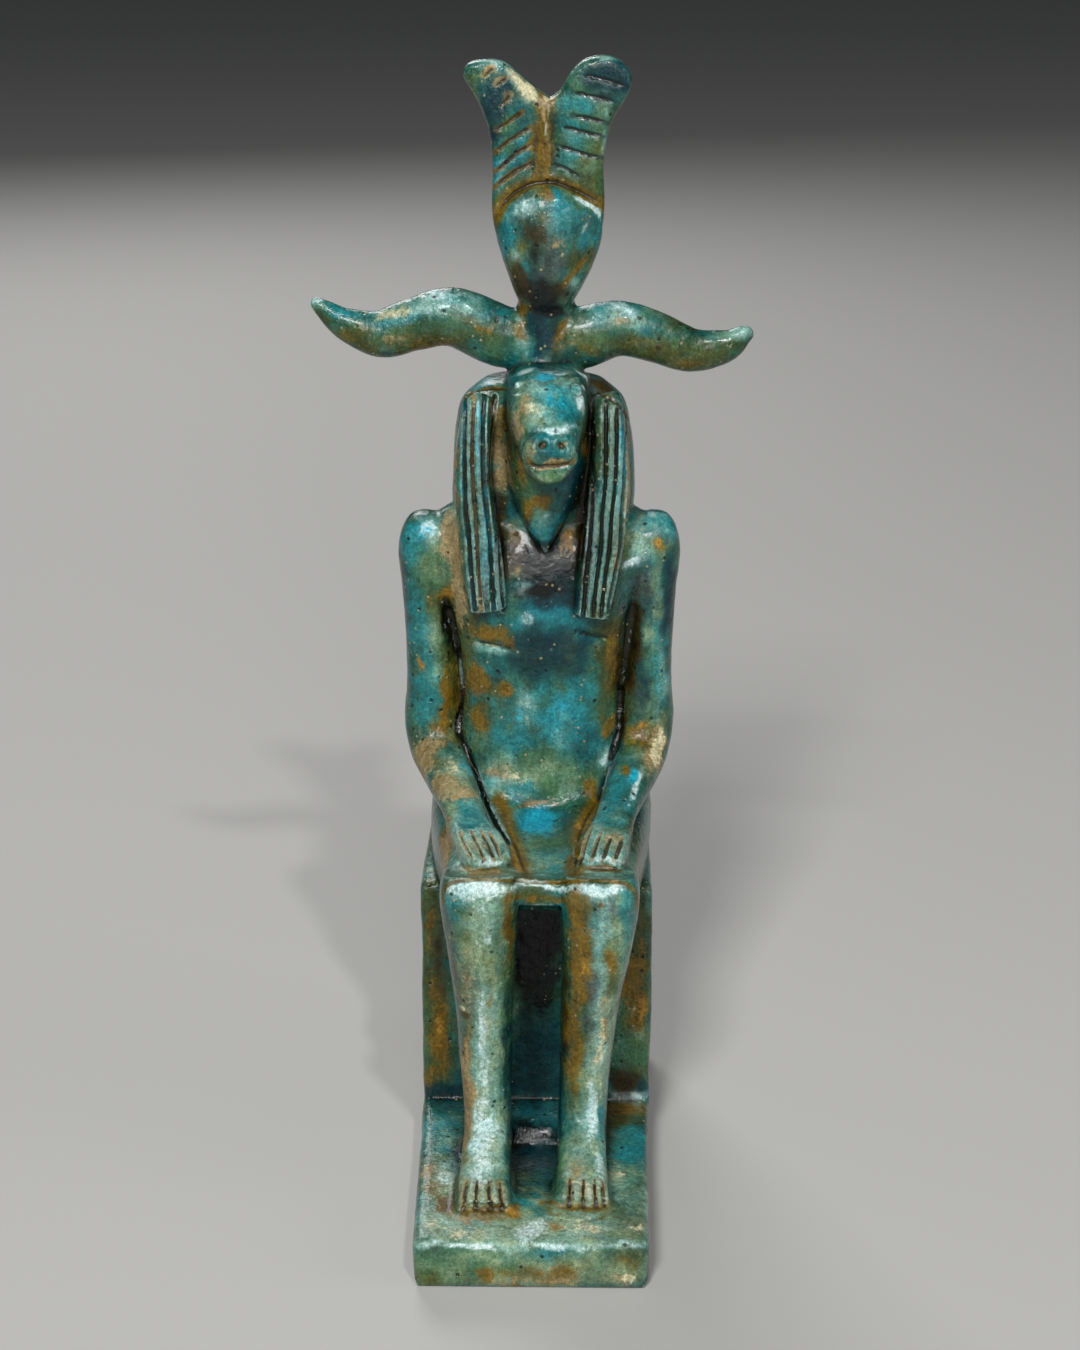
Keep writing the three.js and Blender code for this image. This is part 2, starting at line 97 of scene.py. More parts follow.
def ribbedRing(ribs, depth, sink=0.3, plainShare=0.36):
    # plain and boxy on the deep side, ribs side by side on the other
    def at(turn):
        share = (turn / (2 * math.pi)) % 1.0
        if share < plainShare:
            angle = math.pi * (0.1 + 0.8 * share / plainShare)
            return roundRing(3.2)(angle)
        u = (share - plainShare) / (1 - plainShare) * 2 - 1
        wave = 0.5 - 0.5 * math.cos(2 * math.pi * ribs * (u + 1) / 2)
        crest = 1 - depth * (1 - wave ** 0.7)
        return u, sink * u**6 - crest
    return at


def sweep(bm, stations, sides=48, steps=56, square=2.0, ends=(0.12, 0.12), across=(1, 0, 0), ring=None):
    # a grid rolled round a path of stations [x, y, z, half width, half depth, square]
    rows = [np.array(list(s) + [square] * (6 - len(s)), float) for s in stations]
    acrossVector = Vector(across)
    rings = []
    for step in range(steps + 1):
        level = step / steps
        if ends[0] + ends[1] > 0:           # rings crowd together near a rounded end
            eased = (1 - math.cos(math.pi * level)) / 2
            weight = min(1.0, 2 * (ends[0] if level < 0.5 else ends[1]) + 0.35)
            level = lerp(level, eased, weight)
        row = splineAt(rows, level)
        ahead = splineAt(rows, min(1.0, level + 1e-3))[:3]
        behind = splineAt(rows, max(0.0, level - 1e-3))[:3]
        forward = Vector(ahead - behind).normalized()
        wide = (acrossVector - forward * acrossVector.dot(forward)).normalized()
        deep = wide.cross(forward)
        rings.append((Vector(row[:3]), wide, deep, row, endSwell(level, ends), level))
    made = bmesh.ops.create_grid(bm, x_segments=sides, y_segments=steps, size=0.5)["verts"]
    for vert in made:
        column = vert.co.x + 0.5
        centre, wide, deep, row, swell, level = rings[round((vert.co.y + 0.5) * steps)]
        section = ring(level) if ring else roundRing(max(row[5], 1.6))
        u, v = section(2 * math.pi * column)
        vert.co = centre + wide * (u * row[3] * swell) + deep * (v * row[4] * swell)
    closeUp(bm, made)


def closeUp(bm, verts):
    bmesh.ops.remove_doubles(bm, verts=verts, dist=1e-4)
    kept = [v for v in verts if v.is_valid]
    rims = {e for v in kept for e in v.link_edges if e.is_boundary}
    bmesh.ops.holes_fill(bm, edges=list(rims), sides=0)
    faces = {f for v in kept for f in v.link_faces}
    bmesh.ops.recalc_face_normals(bm, faces=list(faces))


def ball(bm, place, halfSizes, turnX=0.0):
    matrix = (Matrix.Translation(place) @ Matrix.Rotation(turnX, 4, "X")
              @ Matrix.Diagonal((*halfSizes, 1.0)))
    bmesh.ops.create_uvsphere(bm, u_segments=36, v_segments=24, radius=1.0, matrix=matrix)


def block(bm, frontWidth, backWidth, frontY, backY, bottom, top, middle=0.0, edge=2.4, rounds=4):
    # a block that may be narrower in front, with worn edges
    made = bmesh.ops.create_cube(bm, size=1.0)["verts"]
    for vert in made:
        depthShare = vert.co.y + 0.5
        width = lerp(frontWidth, backWidth, depthShare)
        vert.co = Vector((middle + vert.co.x * width, lerp(frontY, backY, depthShare),
                          lerp(bottom, top, vert.co.z + 0.5)))
    edges = list({e for v in made for e in v.link_edges})
    bmesh.ops.bevel(bm, geom=edges, offset=edge, offset_type="OFFSET", affect="EDGES",
                    segments=rounds, profile=0.5, material=-1)


def sideSlab(bm, points, left, right):
    # an outline in Y and Z, drawn out from one X to the other
    verts = [bm.verts.new((left, y, z)) for y, z in points]
    face = bm.faces.new(verts)
    drawn = bmesh.ops.extrude_face_region(bm, geom=[face], use_keep_orig=True)["geom"]
    moved = [g for g in drawn if isinstance(g, bmesh.types.BMVert)]
    bmesh.ops.translate(bm, verts=moved, vec=(right - left, 0, 0))
    faces = {f for v in verts + moved for f in v.link_faces}
    bmesh.ops.recalc_face_normals(bm, faces=list(faces))


base = {
    "length": 145.0, "frontWidth": 68.4, "backWidth": 75.6, "middle": -0.3,
    "thickness": 15.8, "edge": 2.6,
    "hollow": {"back": -7.0, "front": -49.0, "depth": 6.3, "left": -9.0, "right": 8.0},
}


def addBase(bm):
    # the slab, with the shallow hollow between the legs already cut out of it
    half = base["length"] / 2
    slab = bmesh.new()
    block(slab, base["frontWidth"], base["backWidth"], -half, half, 0.0, base["thickness"],
          middle=base["middle"], edge=base["edge"], rounds=5)
    slabPiece = newPiece("slab", slab)
    hollow = newPiece("hollow", hollowShape())
    cut = slabPiece.modifiers.new("hollow", "BOOLEAN")
    cut.operation = "DIFFERENCE"
    cut.solver = "EXACT"
    cut.object = hollow
    bake(slabPiece)
    bm.from_mesh(slabPiece.data)
    for piece in (slabPiece, hollow):
        bpy.data.objects.remove(piece)
    block(bm, base["frontWidth"] - 1.4, base["backWidth"] - 1.4, 0.7 - half, half - 0.7, 0.0, 7.9,
          middle=base["middle"], edge=0.8, rounds=2)


def hollowShape():
    gap = base["hollow"]
    top = base["thickness"]
    floor = top - gap["depth"]
    bm = bmesh.new()
    sideSlab(bm, [
        (gap["back"], top + 5), (gap["back"], floor), (gap["back"] - 12, floor + 0.4),
        (gap["front"], top + 0.05), (gap["front"], top + 5),
    ], gap["left"], gap["right"])
    return bm


def newPiece(name, bm):
    mesh = bpy.data.meshes.new(name)
    bm.to_mesh(mesh)
    bm.free()
    piece = bpy.data.objects.new(name, mesh)
    bpy.context.scene.collection.objects.link(piece)
    return piece


def bake(piece):
    # modifiers into the mesh itself
    graph = bpy.context.evaluated_depsgraph_get()
    finished = bpy.data.meshes.new_from_object(piece.evaluated_get(graph))
    old = piece.data
    piece.modifiers.clear()
    piece.data = finished
    bpy.data.meshes.remove(old)


throne = {"width": 72.8, "front": 10.0, "seatTop": 91.5, "edge": 2.6}
backRest = {"width": 67.0, "top": 103.0, "thickness": 9.0, "edge": 2.2}


def addThrone(bm):
    back = base["length"] / 2
    block(bm, throne["width"], throne["width"], throne["front"], back,
          base["thickness"] - 6, throne["seatTop"], edge=throne["edge"])
    block(bm, backRest["width"], backRest["width"], back - backRest["thickness"], back,
          throne["seatTop"] - 12, backRest["top"], edge=backRest["edge"])


leg = {"kneeLeft": -16.3, "kneeRight": 19.6, "ankle": 14.5, "kneeTop": 109.2, "webHalfWidth": 5.5}


def addLeg(bm, side):
    knee = leg["kneeLeft"] if side < 0 else leg["kneeRight"]
    ankle = side * leg["ankle"]
    front = throne["front"]

    def at(share):
        return lerp(ankle, knee, share)

    sweep(bm, [
        [ankle, -21, 14, 7.6, 9.5],
        [ankle, -20.5, 26, 7.4, 8.6],
        [at(0.1), -19.5, 40, 7.6, 9],
        [at(0.3), -18.5, 56, 8.3, 10.4],
        [at(0.55), -18.5, 72, 9.3, 11.6],
        [at(0.85), -19.5, 90, 11, 12.4, 2.8],
        [knee, -20.5, 102, 11.7, 12.8, 3.2],
        [knee, -20.3, 107, 11.5, 12.3, 3.6],
        [knee, -19.8, leg["kneeTop"], 10.4, 10.8, 3.6],
    ], square=2.5, ends=(0, 0))
    sideSlab(bm, [
        (-16, base["thickness"] - 6), (front + 3, base["thickness"] - 6), (front + 3, 96), (-14, 100),
    ], at(0.4) - leg["webHalfWidth"], at(0.4) + leg["webHalfWidth"])


foot = {"toeTip": -55.5, "rightSetBack": 2.4, "halfWidth": 8.1, "toes": 5}


def addFoot(bm, side):
    x = side * leg["ankle"]
    tip = foot["toeTip"] + (0 if side < 0 else foot["rightSetBack"])
    ground = base["thickness"]
    sweep(bm, [
        [x, -14, ground + 4, 7, 7],
        [x, -27, ground + 6, 7.3, 8.5],
        [x, -37, ground + 3.4, 7.6, 6.6],
        [x, -46, ground + 1.4, 8, 5.2],
        [x, tip + 1.5, ground + 0.4, foot["halfWidth"], 4.6],
        [x, tip, ground, foot["halfWidth"] - 0.6, 3.4],
    ], square=3.0, ends=(0, 0))
    block(bm, 2 * foot["halfWidth"] + 1.6, 2 * foot["halfWidth"] + 1.2, tip - 1.3, -34,
          ground - 3, ground + 1.1, middle=x, edge=0.6, rounds=3)     # the thin sole under the toes


lap = {"top": 108.5, "bottom": 101.5, "hemY": -27.4, "bellyY": 30.0}


def addLap(bm):
    for side in (-1, 1):
        knee = leg["kneeLeft"] if side < 0 else leg["kneeRight"]
        sweep(bm, [
            [side * 20.5 + 1, 60, 100, 15, 13.5],
            [side * 19.8 + 1, 40, 101, 15.6, 13.2],
            [side * 18.6 + 1, 14, 100.6, 14.2, 12.4],
            [knee, -8, 100.4, 11.8, 10.4],
            [knee, lap["hemY"], 101, 11.3, 9],
        ], square=3.6, ends=(0, 0), steps=40)
    under = throne["seatTop"] - 4
    hem, belly, top = lap["hemY"], lap["bellyY"], lap["top"]
    sideSlab(bm, [
        (hem, lap["bottom"]), (hem + 11, lap["bottom"] - 1), (hem + 14, lap["bottom"] - 8),
        (throne["front"] + 8, under), (belly + 20, under), (belly + 20, top + 6),
        (belly - 6, top + 1.5), (hem + 10, top - 0.6), (hem + 1.6, top + 0.9), (hem, top),
    ], leg["kneeLeft"], leg["kneeRight"])


torso = {"middle": 0.8, "y": 44.0, "bottom": 100.0, "top": 207.0}


def addTorso(bm):
    x, y = torso["middle"], torso["y"]
    sweep(bm, [
        [x, y + 1, torso["bottom"], 30, 19.5],
        [x, y, 114, 29.5, 19],
        [x, y, 126, 27, 17.4],
        [x, y, 142, 25.4, 16.4],
        [x, y, 158, 26.8, 17.2],
        [x, y, 173, 29.8, 17.6],
        [x, y, 186, 33.5, 17],
        [x, y + 0.6, 196, 37, 13.8],
        [x, y + 1, 201.8, 33, 10],
        [x, y + 1, torso["top"], 24, 8],
    ], sides=72, square=2.5, ends=(0, 0))
    for side in (-1, 1):
        ball(bm, (x + side * 13, y - 10.6, 181), (13.5, 7, 11))


arm = {"leftX": -34.4, "rightX": 35.0, "shoulderZ": 193.0, "elbowZ": 126.0, "wristLeft": -21.6, "wristRight": 24.2}


def addArm(bm, side):
    x = arm["leftX"] if side < 0 else arm["rightX"]
    wrist = arm["wristLeft"] if side < 0 else arm["wristRight"]
    y = torso["y"]
    shoulder, elbow = arm["shoulderZ"], arm["elbowZ"]
    sweep(bm, [
        [x * 0.89, y, shoulder + 9.2, 8, 8.5],
        [x, y, shoulder, 8.9, 9.8],
        [x, y, 180, 8.3, 9.2],
        [x * 0.985, y, 163, 7.9, 8.8],
        [x * 0.97, y, 147, 8.4, 9],
        [x * 0.975, y - 0.5, elbow + 9, 9.1, 8.6],
        [lerp(x, wrist, 0.22), y - 6.5, elbow, 8.7, 6.8],
        [lerp(x, wrist, 0.55), y - 19, 121, 7.5, 6.4],
        [lerp(x, wrist, 0.86), y - 31, 117.6, 6.5, 5.2],
        [wrist, y - 38, 115.4, 6.2, 4.2],
        [wrist * 0.96, y - 44, 114.2, 6.4, 3.6],
    ], square=2.25, steps=90, ends=(0.07, 0))
    sweep(bm, [
        [x * 0.8, y + 6, 112, 8, 6],
        [x * 0.8, y + 6, 150, 8, 6],
        [x * 0.82, y + 5, 186, 8, 6],
    ], square=3, steps=20, ends=(0, 0))


hand = {"wristY": 3.0, "tipY": -20.0, "fingers": 4, "wrists": (-21.0, 23.2), "tips": (-12.9, 20.0)}


def thighTop(y):
    return lerp(111.2, 114.0, (y + 28) / 58)


def addHand(bm, side):
    pick = 0 if side < 0 else 1
    wristX, tipX = hand["wrists"][pick], hand["tips"][pick]

    def station(share, width, depth):
        y = lerp(hand["wristY"], hand["tipY"], share)
        return [lerp(wristX, tipX, share), y, thighTop(y) + 0.9, width, depth]

    def fingers(level):
        return ribbedRing(hand["fingers"], 0.42 * float(smoothStep(0.35, 0.55, level)), sink=0.4)

    sweep(bm, [
        station(-0.12, 6.2, 4), station(0.2, 6.6, 3.8), station(0.5, 7.3, 3.5),
        station(0.85, 7.2, 3.1), station(0.97, 6.6, 2.5), station(1, 6, 1.6),
    ], sides=90, steps=60, ends=(0, 0), ring=fingers)
    if side > 0:                                # the thumb lies along the inner side
        y = hand["wristY"]
        sweep(bm, [
            [wristX - 6, y - 4, thighTop(y) + 0.8, 1.9, 2],
            [(wristX + tipX) / 2 - 8, -10.5, thighTop(0) + 0.6, 1.8, 1.9],
            [tipX - 7.8, hand["tipY"] + 3, thighTop(-17) + 0.4, 1.5, 1.6],
        ], sides=20, steps=24, ends=(0, 0.2))


wig = {"middle": 1.6, "y": 40.0, "top": 246.5, "lockHem": 176.5, "backRibs": 7}


def addWig(bm):
    x, y = wig["middle"], wig["y"]
    sweep(bm, [
        [x, y + 7, 194, 22, 11],
        [x, y + 6, 205, 27.8, 12.5],
        [x, y + 4, 218, 27.8, 15],
        [x, y + 3, 230, 26.8, 16.5],
        [x, y + 2, 239, 24.4, 16.5],
        [x, y + 2, wig["top"], 16.2, 12],
    ], sides=72, square=2.7, ends=(0, 0.05))
    sweep(bm, [
        [x, y + 12.5, 184, 17, 6.5],
        [x, y + 12, 196, 20.5, 7.5],
        [x, y + 9.5, 212, 23, 10],
        [x, y + 6, 230, 20, 13],
    ], sides=140, steps=40, ends=(0, 0), ring=lambda level: ribbedRing(wig["backRibs"], 0.13))
    heights = [240.5, 235, 219, 205, 191, wig["lockHem"]]
    forward = [(32.5, 6), (29.5, 9), (29, 8.6), (28, 7), (27, 5.2), (27, 4.6)]
    locks = {
        -1: [(-17.2, 4.4), (-18, 4.9), (-19.6, 5.5), (-18.4, 6), (-16.8, 6.4), (-15, 5.6)],
        1: [(20, 4.6), (21.2, 4.9), (21.8, 6), (20.9, 6.6), (18.9, 6.3), (16.5, 5.5)],
    }
    for side, places in locks.items():
        stations = [[px, fy, z, half, deep]
                    for (px, half), (fy, deep), z in zip(places, forward, heights)]
        if side > 0:
            stations[-1][2] -= 2
        sweep(bm, stations, sides=90, steps=60, square=3.4, ends=(0, 0))


head = {"middle": 3.4, "snoutMiddle": 4.2, "snoutZ": 230.2, "eyeZ": 247.4}


def addHead(bm):
    x, snoutX, snoutZ = head["middle"], head["snoutMiddle"], head["snoutZ"]
    sweep(bm, [
        [x - 0.2, 42, 239, 12.2, 12.4, 3],
        [x - 0.3, 28, 239.2, 12.4, 12.4, 3.1],
        [x - 0.1, 18, 238.4, 11.8, 11.8, 2.9],
        [x + 0.3, 10, 235, 9.9, 10.1, 2.5],
        [snoutX - 0.1, 3.5, snoutZ + 1, 8.4, 8.5, 2.1],
        [snoutX, -0.5, snoutZ + 0.2, 8.1, 8.2, 2.1],
        [snoutX, -3, snoutZ, 6, 6.2, 2.1],
    ], sides=64, ends=(0, 0))
    sweep(bm, [
        [x - 0.3, 33, 248, 12.3, 12],
        [x - 0.3, 31.5, 238, 12.9, 13.5],
        [x - 0.5, 30.5, 229, 12.6, 12.5],
        [x - 0.9, 30, 221, 11.6, 11],
        [x - 1.2, 29.8, 212, 9.7, 9.2],
        [x - 1.4, 29.6, 205, 6.8, 7.6],
        [x - 1.2, 29.5, 199.5, 3.7, 6],
        [x - 0.8, 29.5, 194.5, 0.8, 4.6],
    ], square=2.4, ends=(0, 0))


horn = {
    "left": [(4, 257, 7), (-10, 258, 9.2), (-25.2, 264, 8.8), (-37, 262, 7.8),
             (-47.3, 259.2, 7.1), (-57.5, 262, 5), (-64, 266.6, 2.8), (-67.6, 269.2, 1.3)],
    "right": [(0, 257, 7), (12, 258, 9.2), (24, 261, 8.2), (35, 258.6, 7.6),
              (46, 254.6, 6.5), (56, 255.6, 5.2), (61.6, 259, 3), (64.2, 260.6, 1.6)],
    "flatness": 0.82,
}


def addHorns(bm):
    for name in ("left", "right"):
        stations = [[x, crown["y"], z, half * horn["flatness"], half] for x, z, half in horn[name]]
        sweep(bm, stations, sides=44, steps=90, ends=(0, 0.04), across=(0, 1, 0))


crown = {"middle": 3.4, "y": 38.0, "discBottom": 266.0, "discTop": 303.5, "discHalfWidth": 15.7}


def addCrown(bm):
    x, y = crown["middle"], crown["y"]
    sweep(bm, [
        [x - 1.5, y + 1, 240, 12, 10],
        [x - 1.5, y + 1, 252, 10.5, 9],
        [x - 1, y + 1, 262, 9, 8.5],
        [x - 0.5, y, 275, 8, 8],
    ], ends=(0, 0), steps=24)
    sweep(bm, [
        [x - 1.4, y - 1, crown["discBottom"], 4, 4],
        [x - 1.2, y - 1.5, 269.5, 8, 7.4],
        [x - 0.6, y - 2, 276.6, 11.6, 8.8],
        [x - 0.2, y - 2.2, 283, 14.1, 9.4],
        [x, y - 2.2, 290, crown["discHalfWidth"], 9.4],
        [x, y - 2, 296, 14.2, 8.8],
        [x, y - 1.4, 300.8, 9.6, 7],
        [x, y - 0.6, crown["discTop"], 4, 4],
    ], ends=(0.03, 0.03))


plume = {
    "notchZ": 328.0, "halfThickness": 5.0, "worn": 2.4, "top": 340.0,
    "left": [(-12, 280), (-15.2, 287.5), (-16.6, 296), (-16.6, 310), (-17.8, 320.5), (-21.8, 329.4),
             (-25, 334.6), (-23.4, 337.9), (-18.6, 338.8), (-13.8, 338.4), (-9.8, 335.8), (-5.4, 332.2),
             (0.2, 328)],
    "right": [(0.2, 328), (3.4, 330.6), (6, 335), (9.8, 338.6), (15.4, 340), (20, 339), (23.4, 335.8),
              (24, 332), (22, 327.6), (18.4, 321.8), (16.8, 316), (15.8, 309), (16.2, 296), (14.6, 287.5),
              (11.4, 280)],
}


def addPlumes(bm):
    outline = []
    for name in ("left", "right"):
        rows = [np.array(p, float) for p in plume[name]]
        steps = 4 * (len(rows) - 1)
        first = 0 if name == "left" else 1
        outline += [splineAt(rows, i / steps) for i in range(first, steps + 1)]
    half = plume["halfThickness"]
    front = crown["y"] - half
    verts = [bm.verts.new((crown["middle"] + p[0], front, p[1])) for p in outline]
    face = bm.faces.new(verts)
    drawn = bmesh.ops.extrude_face_region(bm, geom=[face], use_keep_orig=True)["geom"]
    moved = [g for g in drawn if isinstance(g, bmesh.types.BMVert)]
    bmesh.ops.translate(bm, verts=moved, vec=(0, 2 * half, 0))
    faces = list({f for v in verts + moved for f in v.link_faces})
    bmesh.ops.recalc_face_normals(bm, faces=faces)
    rims = [e for f in faces if len(f.verts) > 4 for e in f.edges]
    bmesh.ops.bevel(bm, geom=rims, offset=plume["worn"], offset_type="OFFSET", affect="EDGES",
                    segments=4, profile=0.5, material=-1)


def meltForms():
    # every form in one mesh, then one closed skin round them all
    bm = bmesh.new()
    for addForm in (addBase, addThrone, addLap, addTorso, addWig, addHead, addHorns, addCrown, addPlumes):
        addForm(bm)
    for side in (-1, 1):
        addLeg(bm, side)
        addFoot(bm, side)
        addArm(bm, side)
        addHand(bm, side)
    statue = newPiece("god_statue_glazed", bm)
    remesh = statue.modifiers.new("skin", "REMESH")
    remesh.mode = "VOXEL"
    remesh.voxel_size = skin["voxel"]
    bake(statue)
    return statue


def pointsOf(mesh):
    flat = np.empty(len(mesh.vertices) * 3, np.float32)
    mesh.vertices.foreach_get("co", flat)
    return flat.reshape(-1, 3).astype(float)


def normalsOf(mesh):
    flat = np.empty(len(mesh.vertices) * 3, np.float32)
    mesh.vertex_normals.foreach_get("vector", flat)
    return flat.reshape(-1, 3).astype(float)


def setPoints(mesh, points):
    mesh.vertices.foreach_set("co", points.astype(np.float32).ravel())
    mesh.update()


def linksOf(mesh):
    ends = np.empty(len(mesh.edges) * 2, np.int32)
    mesh.edges.foreach_get("vertices", ends)
    counts = np.bincount(ends, minlength=len(mesh.vertices))
    return ends[0::2].copy(), ends[1::2].copy(), np.maximum(counts, 1)


def neighbourMean(values, links):
    a, b, counts = links
    total = np.empty_like(values)
    for axis in range(values.shape[1]):
        column = values[:, axis]
        total[:, axis] = (np.bincount(a, column[b], len(counts))
                          + np.bincount(b, column[a], len(counts))) / counts
    return total


# middle on the photo and half width in mm of the places where one form runs softly into the next
mergedPlaces = [
    (528, 806, 6), (545, 807, 6), (562, 806, 6), (512, 800, 6), (580, 800, 6), (483, 1122, 7), (585, 1122, 7),
    (527, 476, 3), (537, 483, 3), (550, 485, 3.4), (563, 483, 3), (573, 474, 3), (527, 430, 2.4), (574, 430, 2.4),
    (530, 1117, 5), (530, 1130, 6), (512, 1117, 5), (548, 1117, 5), (515, 1132, 5), (545, 1132, 5),
    (530, 1140, 5), (512, 526, 5), (575, 526, 5), (455, 522, 5), (637, 520, 5), (508, 925, 5), (571, 925, 5), (450, 925, 5), (630, 925, 5),
]


def mergeForms(piece):
    # smooths these places alone, most in their middle
    mesh = piece.data
    bpy.context.view_layer.update()
    points, (a, b, _) = pointsOf(mesh), linksOf(mesh)
    weight = np.zeros(len(points))
    for x, y, radius in mergedPlaces:
        hit = seenAt(piece, x, y)
        gap = np.linalg.norm(points - hit[0], axis=1) / radius
        weight = np.maximum(weight, smoothStep(1.3, 0.5, gap))
    inside = np.flatnonzero(weight > 0)
    place = np.full(len(points), -1)
    place[inside] = np.arange(len(inside))
    kept = (place[a] >= 0) & (place[b] >= 0)
    a, b = place[a[kept]], place[b[kept]]
    links = (a, b, np.maximum(np.bincount(a, minlength=len(inside)) + np.bincount(b, minlength=len(inside)), 1))
    local, share = points[inside], 0.8 * weight[inside][:, None]
    for _ in range(160):
        local += share * (neighbourMean(local, links) - local)
    points[inside] = local
    setPoints(mesh, points)


def softenSkin(mesh):
    # worn all over, then the inner corners fill up as they do under thick glaze
    points = pointsOf(mesh)
    links = linksOf(mesh)
    for _ in range(skin["softening"]):
        points += 0.7 * (neighbourMean(points, links) - points)
    setPoints(mesh, points)
    for _ in range(skin["creaseSoftening"]):
        normals = normalsOf(mesh)
        pull = neighbourMean(points, links) - points
        outward = np.clip((pull * normals).sum(axis=1), 0.0, None)
        points += normals * outward[:, None]
        setPoints(mesh, points)


def cameraTurn():
    turns = (math.radians(90 - viewpoint["pitch"]), 0.0, math.radians(viewpoint["turn"]))
    return Euler(turns).to_matrix()


def seenAt(piece, x, y):
    # where the photo's pixel lands on the figure, in millimetres, or None beside it
    width, height = viewpoint["photo"]
    eye = Vector(viewpoint["place"]) * 1000
    aim = cameraTurn() @ Vector((x - width / 2, height / 2 - y, -viewpoint["focal"]))
    found, place, facing, _ = piece.ray_cast(eye, aim.normalized())
    return (np.array(place), np.array(facing)) if found else None


def strokePath(piece, pixels, spacing=1.6):
    # a smooth line of points on the skin under a line drawn on the photo
    rows = [np.array(p, float) for p in pixels]
    reach = sum(np.linalg.norm(b - a) for a, b in zip(rows, rows[1:]))
    steps = max(1, int(reach / spacing))
    places, facings = [], []
    for i in range(steps + 1):
        hit = seenAt(piece, *splineAt(rows, i / steps)) if len(rows) > 1 else seenAt(piece, *rows[0])
        if hit:
            places.append(hit[0])
            facings.append(hit[1])
    return np.array(places), np.array(facings)


def gapToPath(points, path):
    # how far each point is from the line, and which stretch of it is nearest
    best = np.linalg.norm(points - path[0], axis=1)
    nearest = np.zeros(len(points), int)
    for i, (a, b) in enumerate(zip(path, path[1:])):
        ab = b - a
        along = np.clip((points - a) @ ab / max(ab @ ab, 1e-9), 0.0, 1.0)
        gap = np.linalg.norm(points - a - along[:, None] * ab, axis=1)
        closer = gap < best
        best[closer] = gap[closer]
        nearest[closer] = i
    return best, nearest


def nearPath(points, path, reach):
    return np.flatnonzero(((points > path.min(axis=0) - reach) & (points < path.max(axis=0) + reach)).all(axis=1))


def carveStroke(points, normals, lift, path, facings, width, depth, taper=0.2, squareness=2.0, ring=0.0):
    # a groove along the path, or a ridge where the depth is below nothing
    if len(path) == 0:
        return
    near = nearPath(points, path, 2.6 * width + ring)
    if len(near) == 0:
        return
    gap, closest = gapToPath(points[near], path)
    gap = np.abs(gap - ring)
    fade = 1.0
    if len(path) > 2 and taper > 0:
        along = closest / (len(path) - 1)
        fade = 0.25 + 0.75 * smoothStep(0, taper, along) * smoothStep(0, taper, 1 - along)
    facing = (normals[near] * facings[closest]).sum(axis=1)
    lift[near] -= depth * np.exp(-1.4 * (gap / width) ** squareness) * fade * smoothStep(-0.2, 0.3, facing)


plumeCuts = {
    "width": 0.62, "depth": 0.85,
    "left": [
        [(523, 111), (511, 120), (496, 130)],
        [(531, 127), (522, 132), (505, 144), (496, 152)],
        [(532, 144), (517, 153), (503, 165), (494, 172)],
        [(530, 163), (510, 175), (492, 189)],
        [(494, 67), (485, 76)], [(508, 77), (496, 86)], [(511, 94), (501, 106)],
    ],
    "right": [
        [(583, 75), (602, 79), (628, 87)],
        [(572, 92), (592, 96), (615, 102)],
        [(572, 115), (592, 119), (607, 123)],
        [(562, 126), (579, 131), (604, 137)],
        [(556, 144), (572, 150), (588, 155), (604, 158)],
        [(556, 165), (567, 169), (578, 176)],
    ],
    "spine": [[(528, 105), (534, 124), (536, 147), (533, 164), (530, 178)],
              [(560, 105), (555, 124), (552, 147), (554, 164), (555, 177)]],
    "ridge": [[(550, 100), (547, 120), (545, 140)]],
    "discArc": [[(494, 219), (505, 202), (517, 191), (531, 184), (542, 182), (555, 182), (569, 187),
                 (586, 195), (603, 204)]],
}

lockCuts = {
    "width": 0.86, "depth": 1.1,
    "left": [
        [(465, 400), (464, 431), (464.5, 462), (465.5, 508), (469, 538), (471, 569), (475, 610)],
        [(474.5, 397), (472.5, 431), (472.3, 469), (475, 508), (477, 538), (478.5, 569), (481, 610)],
        [(484.5, 394), (483, 423), (483, 446), (484.5, 480), (487.5, 515), (490, 546), (494, 610)],
        [(494.5, 396), (491.3, 436), (489.5, 471), (492, 492), (497, 523), (500, 554), (503.5, 610)],
    ],
    "right": [
        [(592, 480), (591.5, 515), (589.5, 548), (586, 580), (583, 616)],
        [(606, 402), (606, 434), (605.4, 483), (602, 515), (600.8, 548), (596.7, 580), (593, 616)],
        [(617, 409), (617, 434), (615.3, 483), (611.7, 515), (609.6, 548), (605, 580), (601, 616)],
        [(626, 417), (626, 434), (624.7, 483), (621.6, 515), (620.7, 548), (614.5, 580), (608, 612)],
    ],
    "bandLeft": [[(463, 401), (469, 395), (476, 391.5), (485, 389.5), (496, 388.5), (505, 389.5)]],
    "bandRight": [[(598, 393), (609, 398), (616, 403), (623, 411), (629, 420)]],
}

